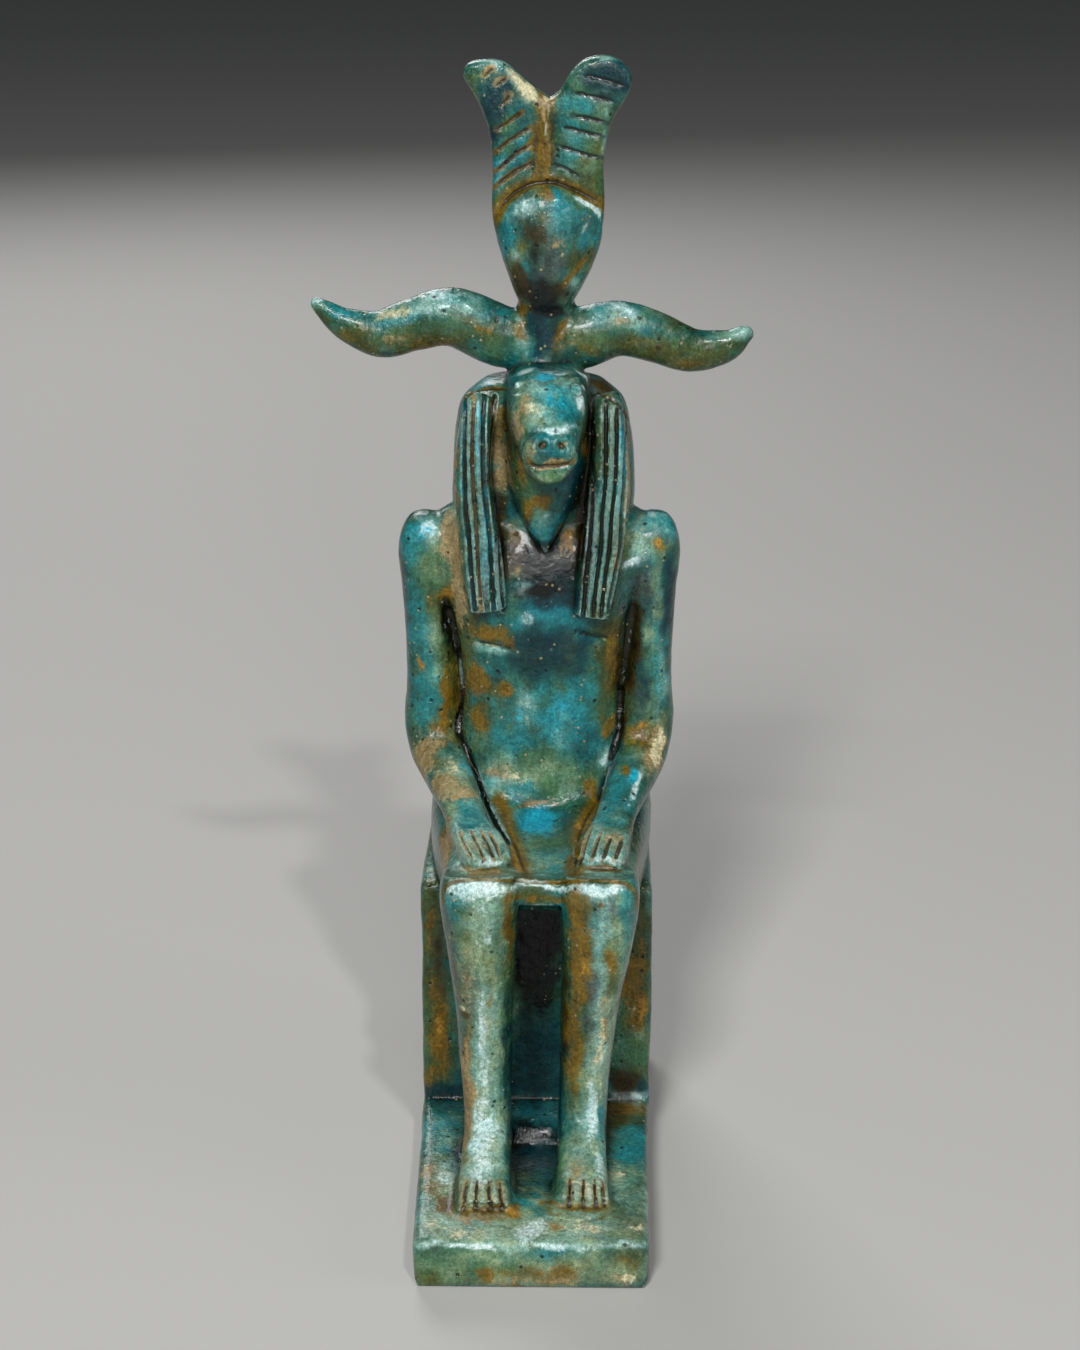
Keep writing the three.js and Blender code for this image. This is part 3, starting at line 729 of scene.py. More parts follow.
faceCuts = {
    "eyeLeft": [(518, 385)], "eyeLeftInner": [(527, 386)], "eyeRight": [(578, 389.5)],
    "lidLeft": [[(511, 388), (513, 380), (520, 378), (528, 380), (531, 387)],
                [(512, 390), (517, 393.5), (523, 392), (529, 392)]],
    "lidRight": [[(570, 391), (571, 385), (576, 382), (583, 383)], [(572, 393), (578, 396), (584, 394)]],
    "browRight": [[(568, 388), (571, 381), (578, 378), (585, 381)]],
    "underEye": [[(512, 394), (518, 396), (524, 393)]],
    "cheek": [[(583, 398), (581, 405), (578, 412)]],
    "discRim": [[(529, 441), (531, 434), (538, 428), (550, 426), (562, 427.6), (570, 432.6), (573, 441)]],
    "nostrils": [[(541.8, 445.5)], [(561.6, 445.5)]],
    "septum": [[(551.5, 436), (551.5, 452)]],
    "pits": [[(555.7, 431)], [(558, 459.5)], [(554.7, 473)]],
    "wrinkleLeft": [[(524, 429), (520.5, 434.5), (517.7, 447), (519.6, 457), (524, 463), (531.6, 468)]],
    "wrinkleRight": [[(577, 433.6), (579, 443), (577, 455), (573, 461)]],
    "mouth": [[(528, 458.5), (531.6, 464.5), (538, 467), (549, 466.4), (560, 466), (570.4, 463.6), (574, 460)]],
}

handCuts = {
    "width": 0.7, "depth": 0.95,
    "left": [[(460, 832), (465, 846), (471, 858)], [(471, 831), (477.6, 845), (484, 860)],
             [(481, 831), (488, 845), (494, 860)], [(489, 833), (496, 846), (501, 859)]],
    "right": [[(601, 833), (596, 845), (591.5, 860)], [(612, 835), (607, 846), (602, 862)],
              [(622.5, 837), (618.6, 848), (614, 861)], [(592, 824), (586, 841), (582, 856), (579, 864)]],
}

footCuts = {
    "width": 1.1, "depth": 1.2,
    "left": [[(467, 1181), (464.5, 1192), (463.5, 1207)], [(477, 1181), (476, 1195), (475.7, 1207)],
             [(489, 1182), (489, 1195), (490.4, 1207)], [(499.7, 1183), (501, 1195), (502.2, 1207)]],
    "right": [[(570, 1179), (569.5, 1192), (569, 1205)], [(583.5, 1180), (583, 1193), (583, 1205)],
              [(594.6, 1180), (595, 1192), (596.2, 1204)], [(602.8, 1182), (603.6, 1193), (604.5, 1204)]],
}

bodyCuts = {
    "hem": [[(443, 903), (444, 891), (450, 884), (462, 881), (478, 879.5), (516, 881), (532, 882.5),
             (555, 883), (578, 881), (599, 880), (621, 883), (631, 888), (636, 895), (638, 906)]],
    "chestLeft": [[(473.5, 641.7), (494, 645), (515, 650)]],
    "chestRight": [[(575, 631), (594, 636), (613, 638)]],
    "kneeEdge": [[(486, 904), (494, 897), (505, 890)]],
    "armpitHigh": [[(447, 603), (450, 618), (454, 634), (459, 655)]],
    "armpitValley": [[(634, 596), (631, 630), (626, 665), (621, 690)]],
    "armpitMiddle": [[(458, 648), (462, 672), (462.5, 700), (458.5, 722), (460, 738)],
                     [(621, 686), (620, 705), (619.5, 733)]],
    "armpitLow": [[(459, 733), (466, 749), (474, 768), (481, 788), (490, 811), (499, 829), (508, 843)]],
    "armpitBlue": [[(619.5, 728), (614, 750), (607, 774), (600, 797)]],
    "skirtLeft": [[(499, 800), (508, 826), (518, 852), (527, 878)]],
    "skirtRight": [[(598, 800), (585, 820), (577, 845), (574, 876)]],
}


def carveFigure(piece):
    mesh = piece.data
    bpy.context.view_layer.update()
    points, normals = pointsOf(mesh), normalsOf(mesh)
    lift = np.zeros(len(points))

    def cut(lines, width, depth, taper=0.2, squareness=2.0, ring=0.0):
        for pixels in lines:
            path, facings = strokePath(piece, pixels)
            carveStroke(points, normals, lift, path, facings, width, depth, taper, squareness, ring)

    cut(plumeCuts["left"], plumeCuts["width"], plumeCuts["depth"])
    cut(plumeCuts["right"], plumeCuts["width"], plumeCuts["depth"] * 0.8)
    cut(plumeCuts["spine"], 1.6, 0.5)
    cut(plumeCuts["ridge"], 0.9, -0.5)
    cut(plumeCuts["discArc"], 0.75, 0.9)
    cut(lockCuts["left"] + lockCuts["right"], lockCuts["width"], lockCuts["depth"], taper=0.05, squareness=3.2)
    cut(lockCuts["bandLeft"] + lockCuts["bandRight"], 0.6, 0.6)
    cut(handCuts["left"] + handCuts["right"], handCuts["width"], handCuts["depth"])
    cut(footCuts["left"] + footCuts["right"], footCuts["width"], footCuts["depth"])
    cut([faceCuts["eyeLeft"], faceCuts["eyeRight"]], 1.35, -0.95)
    cut([faceCuts["eyeLeftInner"]], 0.9, -0.6)
    cut(faceCuts["lidLeft"] + faceCuts["lidRight"], 0.6, 0.28)
    cut(faceCuts["browRight"] + faceCuts["cheek"], 0.9, -0.45)
    cut(faceCuts["underEye"], 0.8, -0.5)
    cut(faceCuts["discRim"], 1.0, -0.35)
    cut(faceCuts["nostrils"], 1.1, -0.32, ring=2.3)
    cut(faceCuts["nostrils"], 1.35, 1.5)
    cut(faceCuts["septum"], 0.7, 0.35)
    cut(faceCuts["pits"], 0.5, 0.5)
    cut(faceCuts["wrinkleLeft"] + faceCuts["wrinkleRight"], 0.6, 0.3)
    cut(faceCuts["mouth"], 0.75, 0.85)
    cut(bodyCuts["hem"], 0.7, 0.55)
    cut(bodyCuts["kneeEdge"], 0.6, -0.35)
    cut(bodyCuts["chestLeft"] + bodyCuts["chestRight"], 1.3, 0.8)
    cut(bodyCuts["armpitHigh"], 2.3, 2.4)
    cut(bodyCuts["armpitValley"], 3.4, 1.5)
    cut(bodyCuts["armpitMiddle"], 1.15, 2.4)
    cut(bodyCuts["armpitLow"], 0.75, 1.9)
    cut(bodyCuts["armpitBlue"], 1.3, 2.2)
    cut(bodyCuts["skirtLeft"] + bodyCuts["skirtRight"], 1.0, 0.5)
    points += normals * lift[:, None]
    setPoints(mesh, points)


wear = {
    "dents": (0.16, 0.055),     # per mm: how close together the broad dents are, and their depth share
    "broadScale": 0.05, "broadDepth": 0.38, "fineScale": 0.28, "fineDepth": 0.11,
}


def wearSkin(mesh):
    # the hand-cut, unevenly glazed surface is never quite flat or straight
    points, normals = pointsOf(mesh), normalsOf(mesh)
    lift = np.empty(len(points))
    for i, place in enumerate(points):
        spot = Vector(place)
        lift[i] = (wear["broadDepth"] * noise.noise(spot * wear["broadScale"])
                   + wear["fineDepth"] * noise.noise(spot * wear["fineScale"]))
    ground = smoothStep(0.0, 2.0, points[:, 2])     # the underside stays flat
    points += normals * (lift * ground)[:, None]
    setPoints(mesh, points)


# boxes in mm that stay finer when the skin is thinned: face, locks, hands, toes, plumes;
# the nearer the share is to 1, the sooner the skin is thinned there
plainShare = 0.99
fineBoxes = [
    ((-10, -8, 205), (17, 22, 258), 0.962),
    ((-26, 0, 170), (30, 40, 245), 0.978),
    ((-32, -26, 108), (34, 4, 122), 0.968),
    ((-26, -60, 14), (26, -40, 26), 0.968),
    ((-26, 28, 276), (32, 42, 342), 0.98),
]


def thinOut(piece):
    mesh = piece.data
    points = pointsOf(mesh)
    share = np.full(len(points), plainShare)
    for low, high, kept in fineBoxes:
        inside = ((points > low) & (points < high)).all(axis=1)
        share[inside] = np.minimum(share[inside], kept)
    group = piece.vertex_groups.new(name="thin")
    for kept in np.unique(share):
        group.add(np.flatnonzero(share == kept).tolist(), float(kept), "REPLACE")
    mesh.calc_loop_triangles()
    thin = piece.modifiers.new("thin", "DECIMATE")
    thin.ratio = skin["triangles"] / len(mesh.loop_triangles)
    thin.vertex_group = "thin"
    thin.vertex_group_factor = 1.0
    bake(piece)
    piece.vertex_groups.clear()


# Stains, glaze tones, painted highlights and painted shade, each by its places on the photo:
# middle x and y, half width, half height, turn in degrees, strength.
stainsAndPaintedLight = {
    "turquoise": [
        (400, 318, 22, 5, -12, 0.7), (480, 312, 12, 8, 30, 0.6), (652, 334, 22, 6, 14, 0.7), (590, 322, 14, 8, -25, 0.6),
        (572, 402, 12, 20, 0, 0.8), (552, 445, 16, 12, 0, 0.8), (572, 440, 8, 20, 0, 0.6), (596, 232, 8, 18, 0, 0.8),
        (570, 222, 14, 14, 0, 0.8), (500, 245, 9, 20, 0, 0.7), (575, 745, 24, 26, 0, 0.8), (540, 700, 30, 30, 0, 0.7),
        (580, 690, 20, 20, 0, 0.8), (560, 620, 22, 14, 0, 0.9),
        (580, 106, 13, 8), (575, 126, 14, 6, 15), (570, 141, 10, 7, 15), (572, 158, 10, 7, 20), (515, 138, 15, 6, -25),
        (505, 165, 14, 7, -28), (497, 181, 9, 6, -28), (508, 236, 9, 22), (522, 262, 6, 16), (588, 235, 9, 16),
        (340, 312, 22, 6, 25), 
        (480, 383, 16, 6, -20), (545, 527, 13, 16), (575, 470, 7, 20),
        (622, 470, 4, 70), (478, 430, 4, 60), (462, 450, 4, 70),
        (412, 545, 12, 24), (412, 620, 10, 44), (428, 648, 12, 34, 0, 0.8), (424, 700, 14, 26, 0, 0.8),
        (515, 632, 14, 10), (560, 612, 16, 12, 0, 0.7), (565, 722, 30, 34, 0, 0.8), (505, 735, 22, 20, 0, 0.75),
        (662, 660, 9, 50, 0, 0.8), (655, 525, 18, 12), (520, 790, 18, 10), (552, 860, 24, 18), (620, 792, 16, 22),
        (470, 812, 18, 16), (610, 815, 16, 16), (455, 905, 12, 16), (628, 905, 7, 30), (440, 1127, 20, 28),
        (530, 1112, 20, 13), (528, 1205, 16, 16), (632, 1150, 12, 40), (545, 1254, 34, 6, 0, 0.75), (602, 1120, 5, 30),
        (430, 865, 8, 26), (647, 870, 6, 26),
    ],
    "green": [
        (345, 322, 20, 5, 30, 0.6), (420, 328, 34, 6, -10, 0.7), (600, 334, 26, 8, -10, 0.7), (680, 345, 34, 6, 8, 0.7),
        (520, 430, 8, 24, 0, 0.5), (552, 760, 26, 14, 0, 0.8), (505, 140, 10, 30, 0, 0.6), (585, 130, 16, 50, 0, 0.5),
        (495, 342, 14, 12), (525, 486, 10, 18, 0, 0.7), (555, 478, 14, 8), (436, 575, 20, 24),
        (445, 640, 7, 34), (560, 782, 30, 18), (540, 762, 20, 12, 0, 0.8), (548, 845, 22, 14, 0, 0.8), (507, 990, 7, 90),
        (424, 1010, 5, 70), (637, 1050, 13, 18), (470, 1264, 52, 16), (560, 1170, 6, 34), (530, 250, 10, 10, 0, 0.7),
        (590, 180, 17, 26), (485, 940, 18, 40, 0, 0.7),
    ],
    "olive": [
        (335, 322, 20, 7, 32, 0.8), (365, 340, 26, 9, 18), (405, 336, 26, 12, -8, 0.9), (448, 336, 26, 12, 0, 0.9),
        (485, 342, 14, 16, 30, 0.8), (585, 340, 20, 14, -25, 0.9), (615, 348, 24, 10, 0, 0.9), (660, 350, 30, 12, 8),
        (705, 352, 26, 11, 0, 0.9), (735, 345, 10, 8, 0, 0.7), (470, 318, 14, 8, 30, 0.5), (525, 470, 14, 14, 0, 0.7),
        (515, 275, 8, 26, 0, 0.8), (590, 255, 8, 20, 15, 0.7), (600, 175, 9, 30, 0, 0.8), (484, 185, 8, 30, 0, 0.7),
        (590, 185, 15, 22), (600, 150, 7, 18, 0, 0.7), (472, 88, 8, 14, 0, 0.7), 
        (516, 272, 8, 18), (577, 262, 8, 12, 0, 0.8), (512, 450, 7, 32), (520, 478, 8, 18), (626, 520, 8, 40),
        (456, 480, 4, 60, 0, 0.8), (450, 655, 6, 50), (466, 640, 9, 34), (610, 650, 9, 46), (540, 897, 36, 6),
        (432, 960, 12, 110), (637, 930, 12, 60), (508, 935, 6, 52), (612, 975, 9, 40, 0, 0.7), (432, 1275, 18, 14, 0, 0.8),
        (620, 1118, 14, 8), (640, 850, 6, 26), (600, 700, 8, 30, 0, 0.7), 
    ],
    "celadon": [
        (480, 960, 22, 60, 0, 0.9), (490, 1050, 16, 60, 0, 0.9), (484, 1110, 18, 40), (478, 1170, 20, 30, 0, 0.8),
        (508, 950, 8, 50, 0, 0.8), (620, 940, 12, 60, 0, 0.8), (610, 1030, 10, 50, 0, 0.9), (592, 1090, 14, 40, 0, 0.9),
        (588, 1160, 20, 30, 0, 0.9), (480, 1195, 24, 12, 0, 0.9), (588, 1195, 22, 12, 0, 0.9), (530, 1226, 110, 14),
        (440, 1190, 14, 20, 0, 0.9), (445, 1140, 12, 18, 0, 0.6), (625, 1180, 18, 26, 0, 0.9), (530, 1262, 112, 12, 0, 0.9),
        (470, 1268, 50, 18, 0, 0.8), (600, 1268, 44, 16, 0, 0.8), (458, 780, 12, 20, 0, 0.9), (450, 815, 16, 16, 0, 0.7),
        (478, 845, 24, 16, 0, 0.8), (608, 842, 16, 18, 0, 0.8), (548, 862, 26, 12, 0, 0.8), (530, 845, 16, 10, 0, 0.7),
        (540, 772, 34, 12, 0, 0.8), (505, 765, 20, 10, 0, 0.7), (580, 785, 18, 10, 0, 0.7), (438, 650, 8, 40, 0, 0.7),
        (436, 560, 14, 22, 0, 0.8), (645, 535, 14, 12, 0, 0.8), (535, 415, 14, 12, 0, 0.7), (520, 400, 10, 20, 0, 0.7),
        (545, 478, 14, 6, 0, 0.9), (525, 455, 10, 12, 0, 0.7), (430, 870, 8, 24, 0, 0.7), (650, 880, 5, 30, 0, 0.6),
        (540, 522, 10, 12, 0, 0.6), (648, 720, 14, 30, 0, 0.6), (655, 620, 8, 60, 0, 0.5),
    ],
    # pale: pale glaze; the thin bands along the base's front edge and over the knee tops are painted highlight
    "pale": [
        (530, 1246, 116, 4.5, 0, 0.8), (655, 526, 16, 9, 0, 0.8), (490, 790, 14, 12, 0, 0.7), (515, 785, 16, 8, 20, 0.6),
        (548, 384, 26, 16, 0, 0.8), (575, 392, 9, 14, 0, 0.7), (537, 415, 20, 16, 0, 0.7), (556, 430, 20, 7, 0, 0.8),
        (425, 305, 30, 7, -8, 0.8), (462, 306, 18, 7, 25, 0.6), (332, 309, 14, 4, 25, 0.5), (612, 315, 22, 8, 0, 0.7),
        (640, 324, 14, 8, 20, 0.6), (735, 334, 12, 4, -15, 0.7), (515, 215, 16, 12, 0, 0.55), (560, 225, 16, 10, 0, 0.4),
        (485, 930, 16, 34, 0, 0.8), (600, 930, 12, 34, 0, 0.6), (606, 145, 2.2, 60, 0, 0.6), (585, 172, 14, 8, 0, 0.4),
        (523, 448, 6, 14, 0, 0.5), (573, 448, 5, 12, 0, 0.5), (570, 790, 26, 8, 0, 0.5),
        (603, 58, 22, 3.5), (495, 62, 17, 3.4), 
        
        (735, 332, 14, 5, -15),
        (575, 288, 4, 14, -15), (520, 330, 4, 22), (625, 402, 14, 4, 55, 0.8),
        (455, 520, 4, 20, 0, 0.8), (430, 530, 14, 12), (430, 640, 9, 26, 0, 0.55), (526, 706, 8, 16), (562, 735, 10, 30, 0, 0.5),
        (662, 665, 5, 50, 0, 0.7), (655, 524, 18, 9), (640, 548, 12, 12, 0, 0.8), (495, 650, 24, 3, 10, 0.9),
        (456, 772, 14, 20), (490, 785, 14, 16), (520, 788, 16, 8, 0, 0.7), (606, 762, 10, 9, -40), (478, 838, 26, 26),
        (607, 842, 20, 24), (470, 812, 16, 12, 0, 0.8), (610, 815, 14, 12, 0, 0.8), (478, 895, 30, 14), (600, 893, 30, 10),
        (487, 1040, 12, 90), (600, 1040, 10, 90), (590, 1120, 9, 36),
        (483, 1140, 18, 56), (590, 1165, 18, 36), (445, 1170, 14, 14, 0, 0.8), (440, 1130, 16, 20, 0, 0.55),
        (575, 1225, 34, 14), (470, 1228, 40, 12), (630, 1195, 14, 26, 0, 0.7), (545, 860, 14, 14, 0, 0.5),
        (645, 1200, 4, 44, 0, 0.8), (500, 1262, 80, 10, 0, 0.35), (560, 1276, 60, 12, 0, 0.5), (545, 522, 8, 10, 0, 0.6),
        (515, 255, 6, 12, 0, 0.6), (640, 1010, 6, 30, 0, 0.4), (500, 873, 40, 4), (600, 873, 34, 4, 0, 0.8),
    ],
    # white: a few patches of white glaze, but mostly painted highlights and glints on the base's front edge, the knee
    # tops, the forehead, the snout, the disc's rim, the legs' fronts and the right shoulder
    "white_and_painted_highlight": [
        (470, 1247, 30, 3, 0, 0.8), (560, 1249, 26, 3, 4, 0.8), (625, 1245, 14, 3, 0, 0.7), (430, 1244, 10, 3, 0, 0.6),
        (522, 205, 12, 9, -30, 0.5), (592, 210, 10, 2.4, 40, 0.9), (440, 297, 24, 5, -6, 0.6), (624, 310, 14, 5, 8, 0.6),
        (526, 371, 8, 4, -20, 0.9), (560, 371, 18, 3.4, 0, 0.6), (518, 384, 3, 2.6), (516, 396, 3, 2.2), (584, 389, 2.6, 3),
        (556, 430, 18, 3.6), (524, 700, 3, 9, 0, 0.7), (527, 715, 2.4, 14, 0, 0.55), (500, 774, 14, 7, 15, 0.55),
        (492, 862, 18, 3, 0, 0.8), (608, 860, 16, 3, 0, 0.8), (484, 930, 10, 30, 0, 0.45), (528, 620, 9, 6, 0, 0.6),
        (586, 206, 15, 3, 38), (317, 301, 5, 3),
        (582, 374, 6, 4, 30), (582, 402, 3.4, 9), (556, 429, 16, 3.4), (428, 526, 8, 8),
        (527, 588, 6, 12, 0, 0.55), (607, 758, 9, 3, -35),
        (634, 562, 9, 3, -30), (478, 890, 26, 8), (598, 889, 28, 5),
        (540, 886, 36, 2.6), (482, 1045, 6, 60, 0, 0.7), (482, 1140, 11, 48, 0, 0.8), (592, 1108, 5, 30), (598, 1160, 6, 22, 0, 0.6),
        (530, 1230, 14, 8), (627, 1097, 13, 5), (606, 907, 3.4, 3.4), (494, 898, 11, 1.6, -38), (636, 786, 2.6, 20, 25),
        (586, 228, 2.2, 4), (445, 1180, 8, 12, 0, 0.6), 
    ],
    "sky": [
        (545, 376, 12, 7, 0, 0.9), (562, 400, 13, 16, 0, 0.55), (547, 395, 10, 20, 0, 0.5), (440, 300, 16, 6, 0, 0.45),
        (418, 528, 12, 10, 0, 0.5), (478, 440, 3, 40, 0, 0.6), (485, 520, 3, 50, 0, 0.6), (622, 450, 3, 44, 0, 0.6),
        (556, 205, 14, 12, 0, 0.45), (555, 612, 18, 8, 0, 0.45), (520, 715, 10, 20, 0, 0.5), (560, 712, 24, 30, 0, 0.45),
        (634, 775, 6, 12, 25, 0.7), (470, 770, 6, 16, -20, 0.6),
        
        (537, 823, 17, 13), (425, 530, 10, 8, 0, 0.6), (478, 410, 3, 26, 0, 0.7), (505, 165, 10, 4, -28, 0.8),
        (490, 780, 7, 12, 0, 0.6),
        (545, 312, 60, 4, 0, 0.3), 
    ],
    # slate grey: a painted reflection on the lower disc, and painted shade in the right armpit, beside the head,
    # between the legs, between the feet and on the legs' inner sides
    "slate_tone_shade_and_reflection": [
        (552, 262, 15, 22, 0, 0.8), (545, 236, 20, 8, 0, 0.5), (640, 590, 12, 22, 0, 0.7), (512, 222, 12, 5, -30, 0.5),
        (610, 905, 9, 16, 0, 0.8), (592, 1010, 7, 46, 0, 0.8), (530, 1160, 20, 22),
        (455, 975, 6, 40, 0, 0.7), (595, 395, 9, 16, 0, 0.8), (620, 600, 6, 30, 0, 0.6), (630, 1225, 14, 12, 0, 0.5),
        (445, 905, 3, 50, 0, 0.8), (470, 985, 10, 30, 0, 0.55),
    ],
    "ochre": [
        (498, 418, 7, 26, 0, 0.95), (496, 440, 8, 20, 0, 0.8), (545, 1272, 60, 7, 0, 0.62), (630, 1262, 16, 10, 0, 0.6),
        (436, 1000, 7, 50, 0, 0.62), (640, 960, 8, 50, 0, 0.62), (490, 990, 5, 40, 0, 0.55), (470, 940, 5, 30, 0, 0.5),
        (478, 325, 20, 6, 35, 0.6), (352, 340, 20, 5, 15, 0.55), (430, 346, 26, 4.5, -8, 0.6), (590, 352, 18, 5, -25, 0.5),
        (690, 362, 24, 4, 0, 0.55), 
        (543, 150, 9, 46), (543, 176, 12, 9), 
        (523, 308, 9, 9), (521, 328, 6, 12), (560, 336, 7, 20, 20, 0.8), 
        (574, 276, 3, 20, 28), (562, 293, 8, 6, 0, 0.7), (522, 250, 6, 7, 0, 0.7), 
        (522, 470, 6, 14, 0, 0.7), (542, 502, 10, 8), (528, 508, 7, 10, 0, 0.8), (516, 548, 11, 18, 0, 0.75),
        (585, 452, 4, 14, 0, 0.7), (618, 560, 5, 20, 0, 0.7), (448, 596, 12, 7), (430, 600, 14, 12, 0, 0.6),
        (492, 635, 20, 7, 6), (510, 643, 9, 4, 40), (478, 680, 10, 17), (480, 722, 12, 16, 0, 0.75), (504, 692, 10, 7),
        (612, 655, 6, 36, 0, 0.8), (446, 705, 5, 34), (442, 727, 12, 7), (645, 737, 16, 12, 0, 0.8), (608, 727, 5, 12, 30),
        (592, 790, 6, 12), (532, 805, 16, 2.6), (583, 824, 10, 10), (574, 855, 7, 24, 10), (508, 812, 5, 16, -20, 0.8),
        (440, 1030, 9, 38), (430, 925, 5, 24, 0, 0.8), (430, 1076, 9, 12, 0, 0.8), (632, 985, 12, 30), (638, 1012, 8, 20),
        (580, 950, 9, 66), (574, 1045, 9, 56, 0, 0.8), (508, 925, 4, 34), (612, 962, 7, 18), (622, 1108, 17, 5),
        (483, 1209, 32, 3.6), (577, 1207, 30, 3.6), (443, 1205, 14, 6, 45), (432, 1188, 8, 12, 0, 0.7),
        (465, 1095, 6, 60), (490, 800, 14, 4, 0, 0.5), (486, 1276, 9, 8), (560, 1274, 40, 12, 0, 0.65), (520, 1284, 8, 6, 0, 0.8),
        (540, 900, 34, 3), (575, 905, 9, 12), (660, 770, 5, 8, 0, 0.5), (625, 772, 6, 5, 0, 0.7), (444, 850, 6, 26),
        (488, 871, 18, 3.6), (604, 868, 18, 3.6), (540, 865, 14, 30, 0, 0.3), (470, 625, 12, 20, 0, 0.5),
    ],
    "orange": [
        (567, 543, 8, 14, 10), (450, 594, 10, 6, 0, 0.8), (657, 545, 6, 7, 0, 0.8), (516, 862, 18, 4, 58), (582, 825, 7, 8),
        (513, 1213, 7, 8), (440, 1030, 6, 26, 0, 0.7), (420, 662, 18, 3, 62, 0.8),
        (505, 693, 7, 5, 0, 0.7), (503, 480, 5, 12, 0, 0.6), (553, 1229, 8, 9, 0, 0.7), (640, 1012, 5, 16, 0, 0.7),
        (550, 467, 16, 1.6), (584, 968, 4, 20, 0, 0.6), (600, 905, 3, 6, 0, 0.6), (645, 728, 7, 5, 0, 0.7), (516, 853, 5, 10, -25, 0.7),
    ],
    "tan": [
        (500, 462, 7, 22, 0, 0.95), (628, 470, 3, 70, 0, 0.8), (456, 460, 3, 60, 0, 0.7), (560, 1278, 50, 5, 0, 0.6),
        (522, 412, 7, 14, 0, 0.8), (517, 430, 6, 16, 0, 0.8), (530, 452, 9, 10, 0, 0.55), (527, 400, 7, 10, 0, 0.6),
        (555, 243, 14, 5, -10, 0.55), (522, 262, 6, 8, 0, 0.55), (365, 330, 16, 6, 25, 0.45), (400, 340, 24, 6, -10, 0.45),
        (575, 345, 16, 6, -30, 0.5), (640, 345, 20, 6, 10, 0.4), (700, 358, 18, 5, 0, 0.4),
        (488, 72, 7, 3.6, -45), (499, 84, 6, 3.6, -45), (506, 98, 4, 5), (547, 104, 8, 9), (546, 125, 3, 24, -8, 0.8),
        
        (620, 321, 8, 5, 0, 0.7), (553, 463, 20, 2.2),
        (498, 455, 7, 20), (503, 478, 8, 13), (542, 446, 3, 3.6), (561.5, 446, 3.6, 4.4), (451, 535, 10, 24), (457, 572, 6, 30),
        (462, 605, 6, 18), (520, 567, 6, 7, 0, 0.8), (425, 755, 14, 24, 18), (443, 787, 18, 13), (458, 797, 18, 4.6),
        (657, 750, 8, 22, 14), (499, 772, 17, 9, 0, 0.8), (478, 845, 18, 12, 0, 0.55), (608, 842, 13, 12, 0, 0.6),
        (446, 850, 7, 28, 0, 0.8), (480, 871, 22, 4, 0, 0.8), (467, 1085, 6, 66, 0, 0.8), (466, 985, 8, 36, 0, 0.6),
        (426, 1170, 9, 8), (576, 1172, 9, 12, 0, 0.7), (478, 1216, 26, 3), (484, 1195, 24, 10, 0, 0.5), (586, 1192, 20, 10, 0, 0.5),
        (605, 1020, 5, 40, 0, 0.6), (545, 805, 14, 2.2), (600, 868, 20, 4, 0, 0.6), (500, 1280, 40, 8, 0, 0.45),
        (620, 1278, 22, 8, 0, 0.6), (488, 1035, 8, 50, 0, 0.4),
    ],
    "cream": [
        (462, 1232, 24, 5, 0, 0.62), (585, 1226, 22, 5, 0, 0.62), (600, 1050, 4, 50, 0, 0.6), (484, 1196, 16, 6, 0, 0.6),
        (590, 1192, 14, 7, 0, 0.6), (432, 1225, 8, 8, 0, 0.6), (640, 1228, 8, 5, 0, 0.6),
        (527, 90, 13, 5, 48), (518, 78, 9, 3, 45), (399, 311, 18, 5, -8, 0.8), (530, 410, 9, 8, 0, 0.7), (549, 100, 5, 4),
        (659, 748, 5, 16, 14), (515, 778, 10, 7, 25, 0.7), 
        
        (629, 1276, 5, 5), (603, 1048, 3, 3), (580, 1010, 2, 3.4), (620, 1172, 5, 8, 0, 0.7), (457, 768, 8, 10, 0, 0.7),
        (490, 645, 20, 1.6, 10, 0.8), (462, 1009, 2.6, 4), (632, 1010, 2, 6, 0, 0.8), (608, 840, 10, 10, 0, 0.5),
    ],
    # deep: dark teal glaze on the plumes, chest and arms; in the right armpit's gap, the recess between the legs, the
    # hollow between the feet, under the hem, along the legs' inner edges and where the throne meets the base it is
    # painted shade
    "deep": [
        (588, 742, 14, 22, 0, 0.45), (612, 765, 5, 26, 18, 0.8), (534, 1150, 20, 20, 0, 0.7),
        (494, 112, 10, 22), (500, 92, 12, 12, 0, 0.8), (606, 76, 22, 12), (604, 98, 12, 6, 0, 0.7), (586, 232, 10, 18, 0, 0.7),
        (541, 325, 9, 34), (552, 335, 8, 26, 0, 0.7), (505, 305, 10, 5), (575, 485, 9, 32), (545, 652, 34, 24), (560, 600, 26, 12),
        (520, 665, 16, 10, 0, 0.6), (668, 600, 8, 44), (643, 692, 7, 30, 0, 0.8), (404, 600, 5, 40, 0, 0.7),
        (537, 1062, 24, 40), (442, 1090, 22, 9), (535, 1089, 22, 5), (640, 1090, 8, 9, 0, 0.7), (508, 1050, 3, 90, 0, 0.8),
        (560, 1080, 4, 70, 0, 0.8), (470, 508, 3, 40, 0, 0.6), (450, 855, 3, 20, 0, 0.4), (455, 1150, 4, 30, 0, 0.7), (540, 912, 26, 5),
        (605, 1235, 12, 6, 0, 0.4), (560, 540, 14, 10, 0, 0.7),
    ],
    # brown: stain specks and a pool of brown glaze at the throne's foot; the brown in the armpits, beside the neck and
    # locks and under the disc is painted shade
    "brown_stain_and_painted_shade": [
        (632, 645, 9, 50, 5, 0.9), (618, 660, 6, 40, 5, 0.7),
